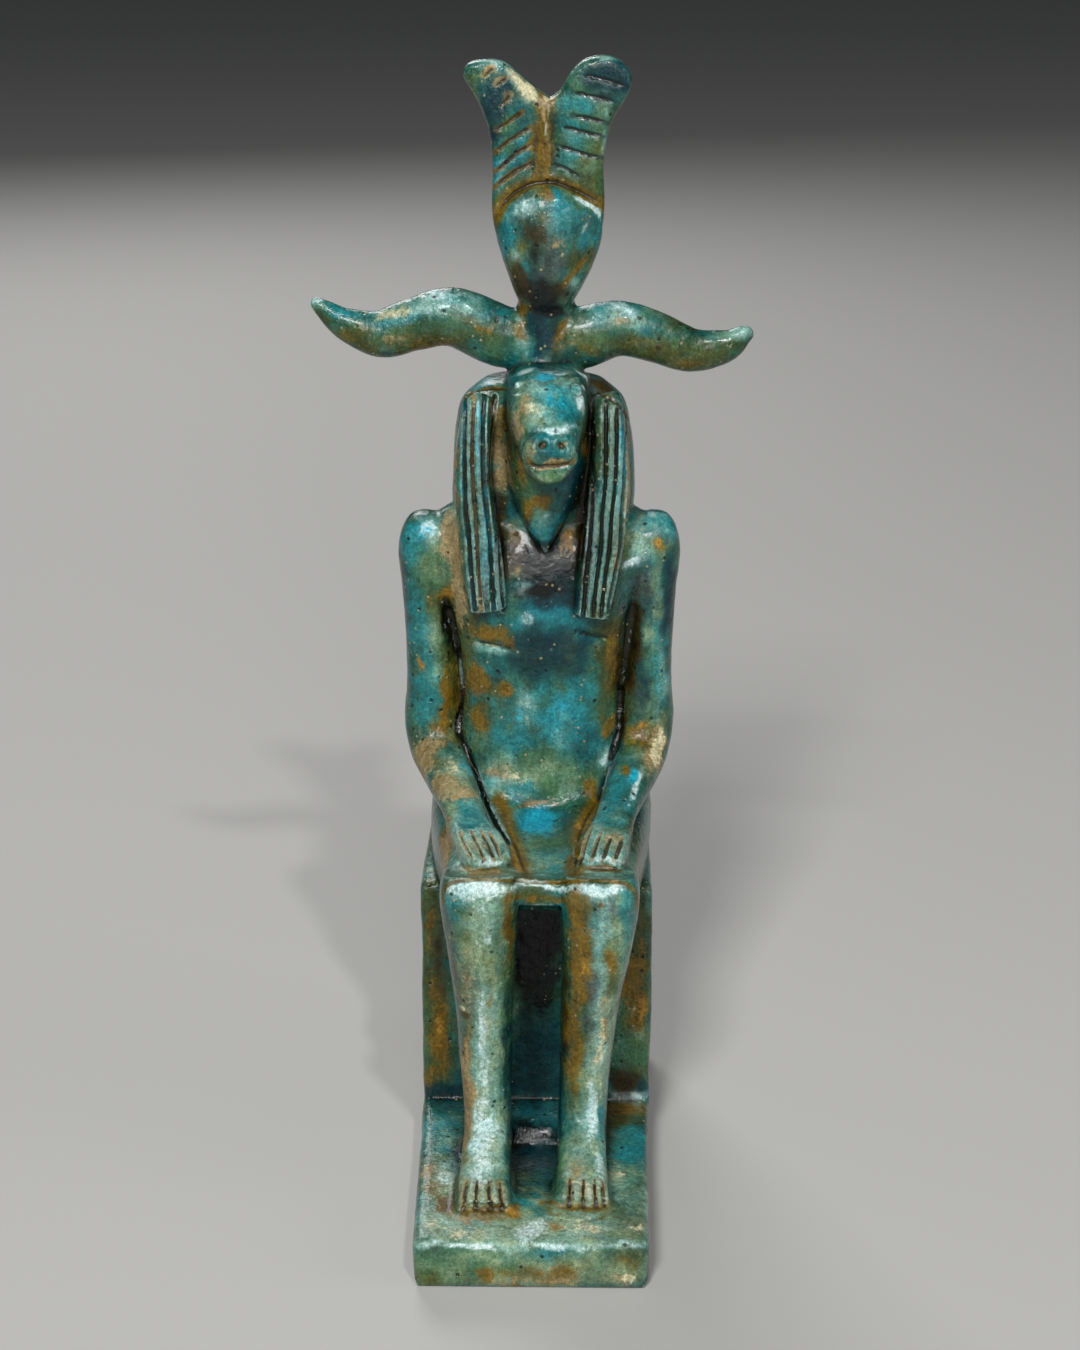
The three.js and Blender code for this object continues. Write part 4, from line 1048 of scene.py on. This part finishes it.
        (502, 522, 7, 30), (512, 560, 12, 20, 0, 0.8), (583, 520, 8, 50, 0, 0.8), (605, 386, 16, 9, 15), (540, 232, 14, 10, 0, 0.8),
        (520, 284, 10, 14), (620, 720, 6, 20), (622, 1082, 14, 15), (622, 1110, 16, 10, 0, 0.6),
        (508, 440, 2.6, 30), (440, 955, 6, 60, 0, 0.7), (564, 1020, 5, 60, 0, 0.7), (464, 1016, 6, 5), (672, 324, 3, 2.6),
        (694, 331, 2.6, 3), (658, 349, 3, 2.4), (708, 349, 2.6, 2.4), (544, 147, 2, 3), (484, 454, 4, 4), (595, 905, 5, 12, 0, 0.6),
        (486, 800, 3, 14, -20, 0.5), (560, 900, 12, 4, 0, 0.5), (470, 1276, 5, 4, 0, 0.8), (430, 1250, 12, 4, 0, 0.5),
    ],
    # black: painted shade under the chin, in the armpits, under the disc, beside the snout and locks, in the recess
    # between the legs and in the hollow between the feet
    "painted_shade_black": [
        (633, 640, 7, 30, 8, 0.62), (626, 668, 5, 18, 0, 0.6),
        (545, 293, 22, 12), (536, 252, 6, 16, 0, 0.7), (545, 309, 18, 7), (552, 562, 30, 18), (545, 590, 26, 8, 0, 0.8),
        (592, 440, 4, 44, 0, 0.9), (584, 530, 4, 44), (537, 955, 22, 56), (530, 1136, 20, 10), (448, 622, 6, 22),
        (500, 545, 3, 30, 0, 0.7), (630, 1080, 9, 9, 0, 0.6), (592, 497, 4, 14, 0, 0.7),
    ],
}

# glaze and stain run into the carved lines, and the black runs in the armpits and between the locks, the deep run in
# the right armpit's gap and the brown runs between the toes are painted shade: half width in mm and strength of the
# tone along them
glazeRunsAndPaintedShade = [
    ("ochre", plumeCuts["left"][:4], 1.0, 1.0), ("tan", plumeCuts["left"][4:], 1.0, 0.8),
    ("deep", plumeCuts["right"], 0.8, 0.9), ("ochre", plumeCuts["discArc"], 1.3, 1.0),
    ("deep", lockCuts["left"][:1], 0.95, 1.0), ("tan", lockCuts["left"][1:2], 0.85, 0.9),
    ("deep", lockCuts["left"][2:3], 0.80, 1.0), ("painted_shade_black", lockCuts["left"][3:], 0.5, 0.9),
    ("painted_shade_black", lockCuts["right"][:3], 0.65, 1.0), ("deep", lockCuts["right"][3:], 0.8, 0.9),
    ("brown_stain_and_painted_shade", lockCuts["bandRight"], 0.7, 0.9), ("ochre", lockCuts["bandLeft"], 0.7, 0.9),
    ("brown_stain_and_painted_shade", faceCuts["lidLeft"], 0.4, 0.55),
    ("ochre", faceCuts["mouth"], 0.7, 0.9), ("brown_stain_and_painted_shade", faceCuts["lidRight"], 0.4, 0.55), ("ochre", faceCuts["nostrils"], 1.0, 0.85),
    ("tan", handCuts["left"] + handCuts["right"], 0.7, 0.9), ("brown_stain_and_painted_shade", footCuts["left"] + footCuts["right"], 0.45, 0.75),
    ("ochre", bodyCuts["hem"], 0.7, 0.8), ("painted_shade_black", bodyCuts["armpitHigh"], 1.6, 1.0),
    ("painted_shade_black", bodyCuts["armpitMiddle"] + bodyCuts["armpitLow"], 0.8, 1.0), ("deep", bodyCuts["armpitBlue"], 1.4, 1.0),
    ("ochre", bodyCuts["skirtLeft"] + bodyCuts["skirtRight"], 1.3, 0.75),
]

# lines that carry a thin pale edge on both sides: glaze worn thin on the carving's edges, and painted highlight along
# them
edgedLines = [
    (lockCuts["left"] + lockCuts["right"], 0.80), (handCuts["left"] + handCuts["right"], 0.6),
    (bodyCuts["armpitLow"], 0.8),
]

# soft painted shade in the armpits and between the toes, a soft olive band along the hem, and soft ochre stain bands
# along the skirt, the disc and the left armpit, in mm and strength
paintedShadeAndStainBands = [
    ("painted_shade_black", bodyCuts["armpitHigh"], 3.0, 1.0), ("brown_stain_and_painted_shade", bodyCuts["armpitMiddle"], 2.6, 0.8),
    ("deep", bodyCuts["armpitLow"], 1.8, 0.8), ("tan", footCuts["left"] + footCuts["right"], 1.2, 0.8), ("ochre", bodyCuts["skirtLeft"] + bodyCuts["skirtRight"], 2.6, 0.9),
    ("olive", bodyCuts["hem"], 1.6, 0.6), ("ochre", plumeCuts["discArc"], 2.2, 0.8),
    ("olive", bodyCuts["armpitHigh"], 6.0, 0.8), ("ochre", bodyCuts["armpitMiddle"][:1], 5.0, 0.5),
]

# where the photo doesn't reach: how close together and how rare each tone is there
elsewhere = {
    "turquoise": (0.030, 0.05), "green": (0.036, 0.15), "celadon": (0.034, 0.20), "olive": (0.030, 0.05), "pale": (0.040, 0.30),
    "ochre": (0.042, 0.16), "tan": (0.046, 0.34), "deep": (0.030, 0.12), "brown_stain_and_painted_shade": (0.050, 0.26),
    "sky": (0.050, 0.45), "slate_tone_shade_and_reflection": (0.040, 0.40),
}


def hiddenShare(points, normals):
    # 1 where the photo's camera can't see the surface from in front
    toEye = np.array(viewpoint["place"]) * 1000 - points
    toEye /= np.linalg.norm(toEye, axis=1)[:, None]
    return 1.0 - smoothStep(-0.05, 0.3, (normals * toEye).sum(axis=1))


def wander(points, closeness, shift, stretch=1.0):
    # smooth noise from about -1 to 1 at every point
    return np.array([noise.noise(Vector((x * closeness + shift, y * closeness, z * closeness * stretch)))
                     for x, y, z in points])


def stainAndLightFields(piece):
    # for each tone, painted highlights and painted shade among them, how strongly it is washed in softly and how near
    # each point is to one of its patches
    mesh = piece.data
    bpy.context.view_layer.update()
    points, normals = pointsOf(mesh), normalsOf(mesh)
    hidden = hiddenShare(points, normals)
    turn = np.array(cameraTurn())
    warp = [1.9 * wander(points, 0.13, shift) + 0.8 * wander(points, 0.4, shift) for shift in (3.0, 31.0, 67.0)]
    warped = points + np.stack(warp, axis=1)
    washes, patches = {}, {}
    for number, (tone, places) in enumerate(stainsAndPaintedLight.items()):
        wash, patch = np.zeros(len(points)), np.zeros(len(points))
        for place in places:
            x, y, wide, high, lean, strength = (list(place) + [0.0, 1.0])[:6] if len(place) != 5 else (*place, 1.0)
            hit = seenAt(piece, x, y)
            if not hit:
                continue
            away = warped - hit[0]
            scale = np.linalg.norm(hit[0] - np.array(viewpoint["place"]) * 1000) / viewpoint["focal"]
            reach = 2.8 * max(wide, high) * scale
            near = np.flatnonzero((np.abs(away) < reach).all(axis=1))
            seen = away[near] @ turn / scale
            c, s = math.cos(math.radians(lean)), math.sin(math.radians(lean))
            across = (seen[:, 0] * c - seen[:, 1] * s) / wide
            along = (seen[:, 0] * s + seen[:, 1] * c) / high
            deep = seen[:, 2] / (1.3 * max(wide, high))
            gap = np.sqrt(across**2 + along**2 + deep**2)
            patch[near] = np.maximum(patch[near], strength * np.clip(1 - 0.5 * gap, 0, 1))
            wash[near] = np.maximum(wash[near], strength * np.exp(-0.7 * gap**2))
        shift = 17.3 * number + 5.0
        if tone in elsewhere:
            closeness, bar = elsewhere[tone]
            wild = (0.6 * wander(warped, closeness, shift, 0.6) + 0.3 * wander(warped, closeness * 2.3, shift, 0.6)
                    + 0.15 * wander(points, closeness * 6, shift))
            wash = np.maximum(wash, smoothStep(bar - 0.22, bar + 0.2, wild) * lerp(0.25, 1.0, hidden))
            patch = np.maximum(patch, np.clip(0.5 + 1.6 * (wild - bar - 0.14), 0, 1) * lerp(0.0, 1.0, hidden))
        washes[tone] = wash * np.exp(1.1 * wander(points, 0.21, shift) + 0.7 * wander(points, 0.6, shift))
        patches[tone] = patch
    # painted shade along the armpits and toes, an olive band along the hem, and ochre stain bands along the skirt and
    # over the disc
    for tone, lines, width, strength in paintedShadeAndStainBands:
        for pixels in lines:
            path, _ = strokePath(piece, pixels)
            if len(path):
                near = nearPath(points, path, 3 * width)
                gap = gapToPath(points[near], path)[0] / width
                washes[tone][near] = np.maximum(washes[tone][near], 2 * strength * np.exp(-(gap**2)))
    # glaze and stain in the carved lines; the black ones, the deep one in the armpit gap and the brown ones between the
    # toes are painted shade
    for tone, lines, width, strength in glazeRunsAndPaintedShade:
        for pixels in lines:
            path, _ = strokePath(piece, pixels)
            if len(path):
                near = nearPath(points, path, 3 * width)
                gap = gapToPath(points[near], path)[0] / width
                patches[tone][near] = np.maximum(patches[tone][near], strength * np.clip(1 - 0.5 * gap, 0, 1))
    return washes, patches


def lineGaps(piece):
    # how far each point is from the nearest edged line, in widths of that line
    points = pointsOf(piece.data)
    gaps = np.full(len(points), 4.0)
    for lines, width in edgedLines:
        for pixels in lines:
            path, _ = strokePath(piece, pixels)
            if len(path):
                near = nearPath(points, path, 4 * width)
                gaps[near] = np.minimum(gaps[near], gapToPath(points[near], path)[0] / width)
    return gaps


def hollowness(mesh, passes):
    # how far the surface lies under its own average, in millimetres
    points, links = pointsOf(mesh), linksOf(mesh)
    smooth = points.copy()
    for _ in range(passes):
        smooth = neighbourMean(smooth, links)
    return ((smooth - points) * normalsOf(mesh)).sum(axis=1)


def storeField(mesh, name, values):
    layer = mesh.attributes.new(name, "FLOAT", "POINT")
    layer.data.foreach_set("value", values.astype(np.float32))


def readField(mesh, name):
    values = np.empty(len(mesh.vertices), np.float32)
    mesh.attributes[name].data.foreach_get("value", values)
    return values


def storeColour(mesh, name, values):
    layer = mesh.attributes.new(name, "FLOAT_COLOR", "POINT")
    filled = np.ones((len(values), 4), np.float32)
    filled[:, :3] = values
    layer.data.foreach_set("color", filled.ravel())


def paintStainsAndLight(piece):
    mesh = piece.data
    fine, middle, broad = readField(mesh, "fineRelief"), readField(mesh, "midRelief"), hollowness(mesh, 60)
    washes, patches = stainAndLightFields(piece)
    total = np.full(len(mesh.vertices), bareGlaze["weight"])
    darker = total[:, None] * np.sqrt(bareGlaze["darker"])
    lighter = total[:, None] * np.sqrt(bareGlaze["lighter"])
    for tone, wash in washes.items():
        weight = wash ** 1.9
        total += weight
        darker += weight[:, None] * np.sqrt(tones[tone][0])
        lighter += weight[:, None] * np.sqrt(tones[tone][1])
    storeColour(mesh, "washDarker", (darker / total[:, None]) ** 2)
    storeColour(mesh, "washLighter", (lighter / total[:, None]) ** 2)
    for tone in patchy:
        storeField(mesh, tone, patches[tone])
    storeField(mesh, "lineGap", lineGaps(piece))
    # ridges and hollows for the shader: glaze thin on edges and pooled in hollows, and with it painted highlight on the
    # ridges and painted shade in the hollows
    storeField(mesh, "ridge", np.clip(-fine * 2.0, 0, 1))
    storeField(mesh, "hollow", np.clip(fine * 2.0 + middle * 0.25 + broad * 0.02, 0, 1))


def toMetres(mesh):
    points = pointsOf(mesh) * 0.001
    points[:, 2] = np.maximum(points[:, 2], 0.0)
    setPoints(mesh, points)
    mesh.shade_smooth()


def addStudio():
    # a plain pale floor, one big soft light in front and above, and weaker ones at the sides
    bm = bmesh.new()
    bmesh.ops.create_grid(bm, x_segments=1, y_segments=1, size=12.0)
    floor = newPiece("floor", bm)
    pale = bpy.data.materials.new("pale floor")
    pale.use_nodes = True
    shader = pale.node_tree.nodes["Principled BSDF"]
    shader.inputs["Base Color"].default_value = (0.44, 0.435, 0.42, 1)
    shader.inputs["Roughness"].default_value = 0.75
    floor.data.materials.append(pale)
    lamps = {
        "key": ((-0.5, -2.1, 2.0), 0.5, 62.0),
        "fill": ((0.2, -2.3, 0.9), 0.8, 12.0),
        "spark": ((0.5, -1.5, 1.9), 0.10, 16.0),
        "side": ((1.9, -0.5, 0.8), 0.8, 5.0),
        "rim": ((-0.6, 1.9, 1.5), 0.9, 22.0),
    }
    for name, (place, size, power) in lamps.items():
        light = bpy.data.lights.new(name, "AREA")
        light.size = size
        light.energy = power
        lamp = bpy.data.objects.new(name, light)
        lamp.location = place
        lamp.rotation_euler = (Vector((0, 0, 0.17)) - Vector(place)).to_track_quat("-Z", "Y").to_euler()
        bpy.context.scene.collection.objects.link(lamp)
    world = bpy.data.worlds.new("studio")
    world.use_nodes = True
    world.node_tree.nodes["Background"].inputs["Color"].default_value = (0.55, 0.57, 0.6, 1)
    world.node_tree.nodes["Background"].inputs["Strength"].default_value = 0.10
    bpy.context.scene.world = world
    bpy.context.scene.view_settings.view_transform = "Standard"


def addCamera():
    lens = bpy.data.cameras.new("camera")
    lens.sensor_fit = "VERTICAL"
    lens.sensor_height = 36.0
    lens.lens = viewpoint["focal"] * lens.sensor_height / viewpoint["photo"][1]
    lens.clip_start = 0.01
    eye = bpy.data.objects.new("camera", lens)
    eye.location = viewpoint["place"]
    eye.rotation_euler = cameraTurn().to_euler()
    bpy.context.scene.collection.objects.link(eye)
    bpy.context.scene.camera = eye


# tones of the glaze, of the stains in it, and of the painted highlights and painted shade, darker and lighter
bareGlaze = {"weight": 0.12, "darker": (0.001, 0.034, 0.038), "lighter": (0.004, 0.110, 0.118)}
tones = {
    "turquoise": ((0.002, 0.090, 0.105), (0.020, 0.240, 0.270)),
    "green": ((0.010, 0.056, 0.024), (0.070, 0.165, 0.066)),
    "olive": ((0.016, 0.022, 0.002), (0.080, 0.078, 0.010)),
    "celadon": ((0.090, 0.150, 0.070), (0.370, 0.450, 0.260)),
    "pale": ((0.085, 0.240, 0.210), (0.330, 0.520, 0.450)),
    # white: mostly the colour of painted highlight and glint
    "white_and_painted_highlight": ((0.330, 0.540, 0.550), (0.680, 0.800, 0.780)),
    "sky": ((0.004, 0.200, 0.300), (0.014, 0.400, 0.540)),
    # slate: a grey glaze tone, also used as painted shade and as a painted reflection on the disc
    "slate_tone_shade_and_reflection": ((0.014, 0.024, 0.026), (0.095, 0.110, 0.108)),
    "ochre": ((0.055, 0.032, 0.001), (0.200, 0.115, 0.008)),
    "orange": ((0.180, 0.085, 0.004), (0.400, 0.220, 0.035)),
    "tan": ((0.130, 0.092, 0.030), (0.360, 0.280, 0.140)),
    "cream": ((0.340, 0.310, 0.150), (0.700, 0.660, 0.460)),
    # deep: dark teal glaze, also used as painted shade in gaps and recesses
    "deep": ((0.0003, 0.009, 0.014), (0.001, 0.030, 0.040)),
    # brown: brown stain, also used as painted shade in the armpits and beside the locks
    "brown_stain_and_painted_shade": ((0.007, 0.004, 0.0006), (0.050, 0.030, 0.004)),
    # black: painted shade
    "painted_shade_black": ((0.0002, 0.0005, 0.0005), (0.003, 0.004, 0.003)),
}

# the tones that also lie in patches of their own: how matt, ragged, soft-edged and strong they are
patchy = {
    "white_and_painted_highlight": (0.1, 1.9, 0.20, 0.75),
    "sky": (0.0, 1.2, 0.12, 0.85),
    "ochre": (0.6, 1.9, 0.14, 0.80),
    "orange": (0.7, 1.8, 0.14, 0.80),
    "tan": (0.9, 1.9, 0.14, 0.80),
    "cream": (0.7, 2.2, 0.14, 0.80),
    "brown_stain_and_painted_shade": (0.2, 1.9, 0.14, 0.80),
    "deep": (0.0, 1.9, 0.20, 0.65),
    "painted_shade_black": (0.0, 1.6, 0.14, 0.90),
}


class Graph:
    # short ways to add and join shader nodes
    def __init__(self, tree):
        self.tree = tree

    def node(self, kind, inputs=(), **settings):
        made = self.tree.nodes.new("ShaderNode" + kind)
        for name, value in settings.items():
            setattr(made, name, value)
        for key, value in dict(inputs).items():
            self.give(made.inputs[key], value)
        return made

    def give(self, socket, value):
        if isinstance(value, bpy.types.NodeSocket):
            self.tree.links.new(value, socket)
        else:
            socket.default_value = value

    def math(self, operation, a, b=0.0, c=0.0):
        return self.node("Math", {0: a, 1: b, 2: c}, operation=operation).outputs[0]

    def field(self, name, kind="Fac"):
        return self.node("Attribute", attribute_name=name).outputs[kind]

    def noise(self, place, scale, detail, roughness=0.5, distortion=0.0):
        return self.node("TexNoise", {"Vector": place, "Scale": scale, "Detail": detail, "Roughness": roughness,
                                      "Distortion": distortion}).outputs[0]

    def step(self, value, low, high, start=0.0, end=1.0):
        return self.node("MapRange", {"Value": value, "From Min": low, "From Max": high, "To Min": start,
                                      "To Max": end}, interpolation_type="SMOOTHSTEP").outputs[0]

    def mix(self, share, a, b, blend="MIX"):
        made = self.node("Mix", data_type="RGBA", blend_type=blend)
        for key, value in ((0, share), (6, a), (7, b)):
            self.give(made.inputs[key], value)
        return made.outputs[2]


def rgb(tone):
    return (*tone, 1.0)


def glazeMaterial():
    glaze = bpy.data.materials.new("glazed stone")
    glaze.use_nodes = True
    g = Graph(glaze.node_tree)
    shader = glaze.node_tree.nodes["Principled BSDF"]
    place = g.node("TexCoord").outputs["Object"]
    upright = g.node("Mapping", {"Vector": place, "Scale": (1.0, 1.0, 0.22)}).outputs[0]

    clouds = g.noise(place, 55.0, 5.0, 0.6, 0.4)
    blots = g.noise(place, 190.0, 6.0, 0.62, 0.3)
    flecks = g.noise(place, 900.0, 4.0, 0.6)
    grain = g.noise(place, 2600.0, 2.0)
    streaks = g.noise(upright, 620.0, 5.0, 0.6)

    # the washes, darker and lighter in clouds and streaks
    tint = g.math("ADD", g.math("MULTIPLY", g.noise(place, 120.0, 6.0, 0.62, 0.3), 0.45), g.math("MULTIPLY", streaks, 0.3))
    tint = g.math("MULTIPLY_ADD", clouds, 0.25, tint)
    tint = g.node("MapRange", {"Value": tint, "From Min": 0.36, "From Max": 0.64}).outputs[0]
    colour = g.mix(tint, g.field("washDarker", "Color"), g.field("washLighter", "Color"))

    # patches laid over them with edges that the noise frays
    fray = g.math("ADD", g.math("MULTIPLY", blots, 0.5), g.math("MULTIPLY", streaks, 0.25))
    fray = g.math("SUBTRACT", g.math("MULTIPLY_ADD", flecks, 0.25, fray), 0.5)
    matt = None
    for name, (mattness, ragged, soft, strength) in patchy.items():
        dark, light = tones[name]
        share = g.step(g.math("MULTIPLY_ADD", fray, ragged, g.field(name)), 0.5 - soft, 0.5 + soft)
        colour = g.mix(g.math("MULTIPLY", share, strength), colour, g.mix(tint, rgb(dark), rgb(light)))
        if matt is None:
            matt = g.math("MULTIPLY", share, mattness)
        else:
            matt = g.math("ADD", g.math("MULTIPLY", matt, g.math("SUBTRACT", 1.0, share)),
                          g.math("MULTIPLY", share, mattness))

    # thin pale edges along the carved lines and pale ridges, partly glaze worn thin and partly painted highlight; and
    # painted shade, near black, in the hollows, where the glaze also pools dark
    gap = g.math("MULTIPLY_ADD", g.math("SUBTRACT", blots, 0.5), 1.0, g.field("lineGap"))
    edge = g.math("MULTIPLY", g.step(gap, 1.0, 1.25), g.step(gap, 1.70, 1.35))
    edge = g.math("MULTIPLY", edge, g.step(g.noise(place, 260.0, 2.0), 0.42, 0.60, 0.0, 0.75))
    colour = g.mix(edge, colour, rgb((0.26, 0.46, 0.44)))
    ridge = g.step(g.math("MULTIPLY_ADD", g.math("SUBTRACT", flecks, 0.5), 0.5, g.field("ridge")), 0.30, 0.75)
    colour = g.mix(g.math("MULTIPLY", ridge, 0.3), colour, rgb((0.36, 0.52, 0.48)))
    # painted shade in the hollows
    hollow = g.step(g.math("MULTIPLY_ADD", g.math("SUBTRACT", blots, 0.5), 0.5, g.field("hollow")), 0.10, 0.60)
    colour = g.mix(g.math("MULTIPLY", hollow, 0.8), colour, rgb((0.005, 0.006, 0.002)))

    # mottling, dark pits and pale crumbs
    colour = g.mix(1.0, colour, g.mix(g.step(flecks, 0.3, 0.7), rgb((0.72, 0.72, 0.72)), rgb((1.28, 1.27, 1.24))), "MULTIPLY")
    colour = g.mix(1.0, colour, g.mix(g.step(grain, 0.3, 0.7), rgb((0.75, 0.75, 0.75)), rgb((1.25, 1.25, 1.25))), "MULTIPLY")
    pits = g.node("TexVoronoi", {"Vector": place, "Scale": 330.0, "Randomness": 1.0})
    pitShare = g.math("MULTIPLY", g.step(pits.outputs["Distance"], 0.26, 0.12),
                      g.step(g.node("SeparateColor", {0: pits.outputs["Color"]}).outputs[0], 0.80, 0.86))
    colour = g.mix(g.math("MULTIPLY", pitShare, 0.85), colour, rgb((0.006, 0.006, 0.004)))
    crumbs = g.node("TexVoronoi", {"Vector": place, "Scale": 520.0, "Randomness": 1.0})
    crumbShare = g.math("MULTIPLY", g.step(crumbs.outputs["Distance"], 0.30, 0.14),
                        g.step(g.node("SeparateColor", {0: crumbs.outputs["Color"]}).outputs[1], 0.86, 0.90))
    colour = g.mix(g.math("MULTIPLY", crumbShare, 0.6), colour, rgb((0.34, 0.30, 0.17)))
    g.give(shader.inputs["Base Color"], colour)

    rough = g.math("ADD", g.math("MULTIPLY_ADD", matt, 0.28, 0.10), g.math("MULTIPLY", grain, 0.10))
    g.give(shader.inputs["Roughness"], rough)
    shader.inputs["IOR"].default_value = 1.42
    shader.inputs["Specular IOR Level"].default_value = 0.36
    shader.inputs["Coat Weight"].default_value = 0.12
    shader.inputs["Coat Roughness"].default_value = 0.06

    # thick glaze: a rolling skin, fine brush streaks, and pits
    peel = g.noise(place, 330.0, 3.0, 0.5)
    height = g.math("ADD", g.math("MULTIPLY", peel, 0.9), g.math("MULTIPLY", streaks, 0.35))
    height = g.math("ADD", height, g.math("MULTIPLY", flecks, 0.35))
    height = g.math("ADD", height, g.math("MULTIPLY", grain, 0.06))
    height = g.math("SUBTRACT", height, g.math("MULTIPLY", pitShare, 0.5))
    height = g.math("ADD", height, g.math("MULTIPLY", crumbShare, 0.3))
    bump = g.node("Bump", {"Height": height, "Strength": 0.55, "Distance": 0.0012})
    g.give(shader.inputs["Normal"], bump.outputs[0])
    return glaze


statue = meltForms()
print("forms melted:", len(statue.data.vertices), "points")
softenSkin(statue.data)
mergeForms(statue)
print("skin softened")
carveFigure(statue)
print("face, locks, hands and feet carved")
wearSkin(statue.data)
print("surface worn")
finish = statue.data
storeField(finish, "fineRelief", hollowness(finish, 10))
storeField(finish, "midRelief", hollowness(finish, 50))
thinOut(statue)
print("thinned:", len(statue.data.polygons), "faces")
paintStainsAndLight(statue)
toMetres(statue.data)
print("stained")
statue.data.materials.append(glazeMaterial())
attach(statue, "root")
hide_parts("god_statue")
addStudio()
addCamera()
print("scene ready")
